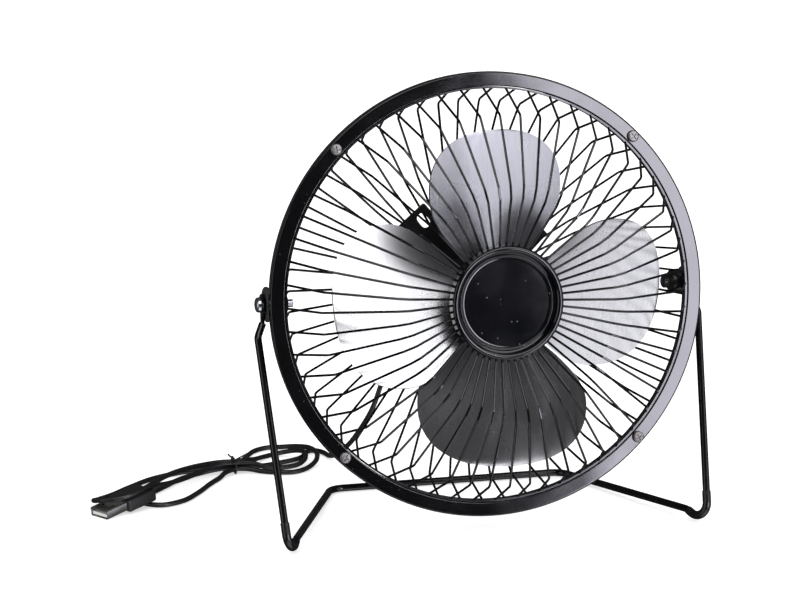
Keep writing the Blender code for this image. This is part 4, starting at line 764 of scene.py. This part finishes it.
# Four small pan-head screws with their nuts, in dull zinc, hold the rings together.
dull_zinc = grained("dull_zinc", (0.22, 0.21, 0.20), (0.38, 0.37, 0.36), 0.40, 0.55, 1500.0, 0.2, metallic=1.0)
rim_screw_circle = (ring_radius + ring_inner) / 2
rim_head_radius, rim_head_height, rim_shank, rim_shank_end = 0.0028, 0.0013, 0.0014, -0.0084
for number, angle in enumerate((45, 135, 225, 315), 1):
    at = head_place @ Matrix.Rotation(math.radians(angle), 4, "Z")
    at = at @ Matrix.Translation((rim_screw_circle, 0, ring_front + seam))
    outline = pan_head_profile(rim_head_radius, rim_head_height, rim_shank, rim_shank_end)
    screw = turned("rim_screw", outline, 32, at)
    top = at @ Matrix.Translation((0, 0, rim_head_height)) @ Matrix.Rotation(0.4 + number, 4, "Z")
    screw = cross_recess(screw, top, 0.0034, 0.0008, 0.2)
    piece(f"rim_screw_{number}_skin", screw, dull_zinc, "head", (f"rim_screw_{number}",), 30.0)
    carried(f"rim_nut_{number}", dull_zinc, 30.0)

# ------------------------------------------------------------ wire guards
# Fifty-six radial wires a side, 1.2 mm, bent in a die and spot-welded to an inner hoop at the
# rim and to the hub, then dipped in black enamel.
guard_enamel = grained("guard_enamel", (0.0018, 0.0018, 0.0022), (0.004, 0.004, 0.005), 0.10, 0.20, 700.0, 0.05)
wire_count, guard_wire = 56, 0.0006
hub_wall_radius, hub_wall_sheet = 0.0271, 0.0008
hub_wall_front, hub_wall_back = 0.0473, 0.0423
front_profile = [
    (hub_wall_radius - 0.0002, 0.0457),
    (0.0500, 0.0565),
    (0.0560, 0.0561),
    (0.0880, 0.0421),
    (0.0994, 0.0150),
]
rear_profile = [
    (0.0272, -0.0243),
    (0.0600, -0.0225),
    (0.0927, -0.0103),
    (0.0994, 0.0124),
]


def wire_runs(profile, phase, bend, sweep_deg, unevenness_deg):
    """The bent profile turned to each wire's place, with a slight lean and a hand-loaded spread."""
    flat = bent([(r, 0, z) for r, z in profile], bend, 5)
    inner, outer = profile[0][0], profile[-1][0]
    runs = []
    for i in range(wire_count):
        spread = unevenness_deg * (math.sin(i * 2.399) + 0.5 * math.sin(i * 5.31))
        run = []
        for p in flat:
            share = (p.x - inner) / (outer - inner)
            angle = 360 * (i + phase) / wire_count + sweep_deg * (share - 1) + spread * share * (1 - share) * 4
            run.append(head_place @ (Matrix.Rotation(math.radians(angle), 3, "Z") @ p))
        runs.append(run)
    return runs


def hoop(name, outer, wall, low, high, steps=140):
    """A flat band rolled into a ring round the head's axis."""
    inner = outer - wall
    return turned(name, [(inner, high), (outer, high), (outer, low), (inner, low)], steps, head_place)


wire_bend, hoop_radius, hoop_sheet = 0.0035, 0.0999, 0.0009
front_guard = bmesh.new()
front_guard.from_mesh(tube("front_wires", wire_runs(front_profile, 0.05, wire_bend, 0.5, 0.18), guard_wire, 2))
add_mesh(front_guard, hoop("front_hoop", hoop_radius, hoop_sheet, 0.01385, 0.01615))
add_mesh(front_guard, hoop("hub_wall", hub_wall_radius, hub_wall_sheet, hub_wall_back, hub_wall_front, 96))
front_skin = as_mesh(front_guard, "front_guard_skin")
piece("front_guard_skin", front_skin, guard_enamel, "head", ("front_guard",), 40.0)
rear_guard = bmesh.new()
rear_guard.from_mesh(tube("rear_wires", wire_runs(rear_profile, 0.55, wire_bend, -0.8, 0.25), guard_wire, 2))
add_mesh(rear_guard, hoop("rear_hoop", hoop_radius, hoop_sheet, 0.01125, 0.01355))
add_mesh(rear_guard, turned("rear_hub_ring", [
    (0.0238, -0.0237), (0.0298, -0.0237), (0.0298, -0.0249), (0.0238, -0.0249),
], 96, head_place))
rear_skin = as_mesh(rear_guard, "rear_guard_skin")
piece("rear_guard_skin", rear_skin, guard_enamel, "head", ("rear_guard",), 40.0)

# ------------------------------------------------------------ badge cap
# Plain pressed cap over the guard's hub: a rolled rim, a second small bead inside it and a
# flat disc, in the same gloss enamel. The disc carries no mark.
cap_enamel = grained("cap_enamel", (0.0008, 0.0010, 0.0020), (0.0016, 0.0020, 0.0036), 0.05, 0.10, 400.0, 0.03,
                     dust=0.4)
cap_front, cap_disc, cap_sheet = 0.0489, 0.0447, 0.0008
cap_radius, cap_roll = 0.0271, 0.00165
bead_circle, bead_radius = 0.0224, 0.0005
cap_outline = [
    (0, cap_disc), (bead_circle - 0.0018, cap_disc), (bead_circle - 0.0013, cap_disc),
    (bead_circle - 0.0006, cap_disc + 0.00025),
]
for i in range(9):
    t = math.radians(180 - 180 * i / 8)
    cap_outline.append((
        bead_circle + bead_radius * math.cos(t),
        cap_disc + 0.0003 + bead_radius * math.sin(t),
    ))
cap_outline += [
    (cap_radius - 2 * cap_roll - 0.0002, cap_disc + 0.0006),
    (cap_radius - 2 * cap_roll, cap_front - 0.0014),
]
for i in range(13):
    t = math.radians(175 - 175 * i / 12)
    cap_outline.append((
        cap_radius - cap_roll + cap_roll * math.cos(t),
        cap_front - cap_roll + cap_roll * math.sin(t),
    ))
cap_under = hub_wall_front + seam
skirt_radius, skirt_back = 0.0260, 0.0423
cap_outline += [
    (cap_radius, cap_under), (skirt_radius, cap_under), (skirt_radius, skirt_back),
    (skirt_radius - cap_sheet, skirt_back), (skirt_radius - cap_sheet, cap_disc - cap_sheet),
    (0, cap_disc - cap_sheet),
]
cap_skin = turned("badge_cap_skin", cap_outline, 120, head_place)
piece("badge_cap_skin", cap_skin, cap_enamel, "head", ("badge_cap",), 60.0)

# ------------------------------------------------------------ impeller
# Four broad petals stamped with their centre disc from one sheet of brushed aluminium, each
# twisted to its pitch, and riveted to a steel boss on the motor's shaft.
impeller_z = 0.03024
blade_sheet = 0.0008
tip_radius, widest_radius, root_radius = 0.0804, 0.0494, 0.0130
half_width, root_half_width = 0.0405, 0.0110
root_pitch, tip_pitch = math.radians(30.0), math.radians(20.0)
crease_at, crease_rise = 0.42, math.tan(math.radians(7.0))


def brushed_aluminium():
    """Fine straight brushing with a few deeper lines and soft broad tone."""
    finish = bpy.data.materials.new("brushed_aluminium")
    finish.use_nodes = True
    nodes, links = finish.node_tree.nodes, finish.node_tree.links
    shader = nodes["Principled BSDF"]
    shader.inputs["Metallic"].default_value = 1.0
    place = nodes.new("ShaderNodeTexCoord")
    stretch = nodes.new("ShaderNodeMapping")
    stretch.inputs["Scale"].default_value = (2600.0, 90.0, 90.0)
    links.new(place.outputs["Object"], stretch.inputs["Vector"])
    brush = nodes.new("ShaderNodeTexNoise")
    brush.inputs["Scale"].default_value = 1.0
    brush.inputs["Detail"].default_value = 5.0
    links.new(stretch.outputs["Vector"], brush.inputs["Vector"])
    tone = nodes.new("ShaderNodeMix")
    tone.data_type = "RGBA"
    tone.inputs[6].default_value = (0.58, 0.575, 0.60, 1)
    tone.inputs[7].default_value = (0.80, 0.80, 0.83, 1)
    links.new(brush.outputs["Fac"], tone.inputs["Factor"])
    links.new(tone.outputs[2], shader.inputs["Base Color"])
    cloud = nodes.new("ShaderNodeTexNoise")
    cloud.inputs["Scale"].default_value = 28.0
    links.new(place.outputs["Object"], cloud.inputs["Vector"])
    rough = nodes.new("ShaderNodeMapRange")
    rough.inputs["From Min"].default_value = 0.3
    rough.inputs["From Max"].default_value = 0.7
    rough.inputs["To Min"].default_value = 0.22
    rough.inputs["To Max"].default_value = 0.32
    links.new(cloud.outputs["Fac"], rough.inputs["Value"])
    links.new(rough.outputs["Result"], shader.inputs["Roughness"])
    bump = nodes.new("ShaderNodeBump")
    bump.inputs["Strength"].default_value = 0.25
    bump.inputs["Distance"].default_value = 0.00003
    links.new(brush.outputs["Fac"], bump.inputs["Height"])
    links.new(bump.outputs["Normal"], shader.inputs["Normal"])
    return finish


aluminium = brushed_aluminium()


def blade_half(radius):
    """Half the blade's width at a radius: it swells from the root and is round at the tip."""
    if radius < widest_radius:
        rise = math.sin(math.pi / 2 * (radius - root_radius) / (widest_radius - root_radius))
        return root_half_width + (half_width - root_half_width) * rise
    run = (radius - widest_radius) / (tip_radius - widest_radius)
    return half_width * max(0.0, 1 - run ** 2.3) ** (1 / 2.3)


rows = [root_radius + (widest_radius - root_radius) * i / 14 for i in range(15)]
rows += [widest_radius + (tip_radius - widest_radius) * math.sin(math.pi / 2 * i / 14) for i in range(1, 14)]
rows.append(widest_radius + (tip_radius - widest_radius) * 0.998)
impeller = bmesh.new()
for number in range(4):
    blade = bmesh.new()
    bmesh.ops.create_grid(blade, x_segments=len(rows) - 1, y_segments=16, size=1.0)
    for v in blade.verts:
        row = round((v.co.x + 1) / 2 * (len(rows) - 1))
        radius, across = rows[row], v.co.y
        share = (radius - root_radius) / (tip_radius - root_radius)
        pitch = root_pitch + (tip_pitch - root_pitch) * share
        offset = across * blade_half(radius)
        camber = 0.04 * blade_half(radius) * (1 - across ** 2) * share
        crease = max(0.0, offset - crease_at * half_width) * crease_rise - offset * 0.03
        v.co = (radius, offset * math.cos(pitch), offset * math.sin(pitch) + camber + crease)
    bmesh.ops.recalc_face_normals(blade, faces=blade.faces)
    bmesh.ops.solidify(blade, geom=blade.faces[:], thickness=blade_sheet)
    middle = Matrix.Translation((0, 0, impeller_z)) @ Matrix.Rotation(math.radians(90 * number), 4, "Z")
    add_mesh(impeller, as_mesh(blade, "blade", head_place @ middle))
disc_bore, disc_radius = 0.0018, 0.0200
add_mesh(impeller, turned("blade_disc", [
    (disc_bore, blade_sheet), (disc_radius, blade_sheet), (disc_radius, -blade_sheet),
    (disc_bore, -blade_sheet),
], 64, head_place @ Matrix.Translation((0, 0, impeller_z))))
impeller_skin = as_mesh(impeller, "impeller_skin")
piece("impeller_skin", impeller_skin, aluminium, "rotor", ("impeller",), 40.0)

# ------------------------------------------------------------ motor and its bracket
# Small can motor with a pressed steel case, held on a three-armed black plate behind the
# blades; the plate lies on the rear guard's wires.
case_paint = grained("motor_case", (0.010, 0.010, 0.011), (0.022, 0.022, 0.024), 0.28, 0.42, 900.0, 0.15,
                     metallic=0.3)
plate_paint = grained("bracket_paint", (0.004, 0.004, 0.005), (0.010, 0.010, 0.011), 0.20, 0.34, 900.0, 0.15)
bright_steel = grained("bright_steel", (0.42, 0.42, 0.43), (0.60, 0.60, 0.61), 0.22, 0.36, 1500.0, 0.1,
                       metallic=1.0)
motor_iron = grained("motor_iron", (0.06, 0.06, 0.065), (0.12, 0.12, 0.125), 0.5, 0.7, 1200.0, 0.3,
                     metallic=0.7)
moulded = grained("moulded_black", (0.011, 0.011, 0.012), (0.020, 0.020, 0.021), 0.36, 0.5, 1600.0, 0.45)
carried("motor_can", case_paint, 30.0)
carried("motor_bracket", plate_paint, 30.0)
carried("motor_end_cap", moulded, 30.0)
for node in ("motor_magnet", "armature"):
    carried(node, motor_iron, 30.0)
for node in ("impeller_boss", "motor_shaft", "shaft_collar", "impeller_rivet_1", "impeller_rivet_2"):
    carried(node, bright_steel, 30.0)

# ------------------------------------------------------------ motor cover and switch
# Moulded cup over the motor's wiring. Two screws draw it to the bracket, its collar clamps
# the rear guard's hub, and a small rocker switch sits above the lead.
carried("rear_housing", moulded, 30.0)
for number in (1, 2):
    carried(f"housing_screw_{number}", zinc, 30.0)
carried("switch_frame", moulded, 30.0)
rocker_finish = grained("rocker_black", (0.008, 0.008, 0.009), (0.014, 0.014, 0.015), 0.16, 0.26, 1200.0, 0.1)
carried("switch_rocker", rocker_finish, 30.0)
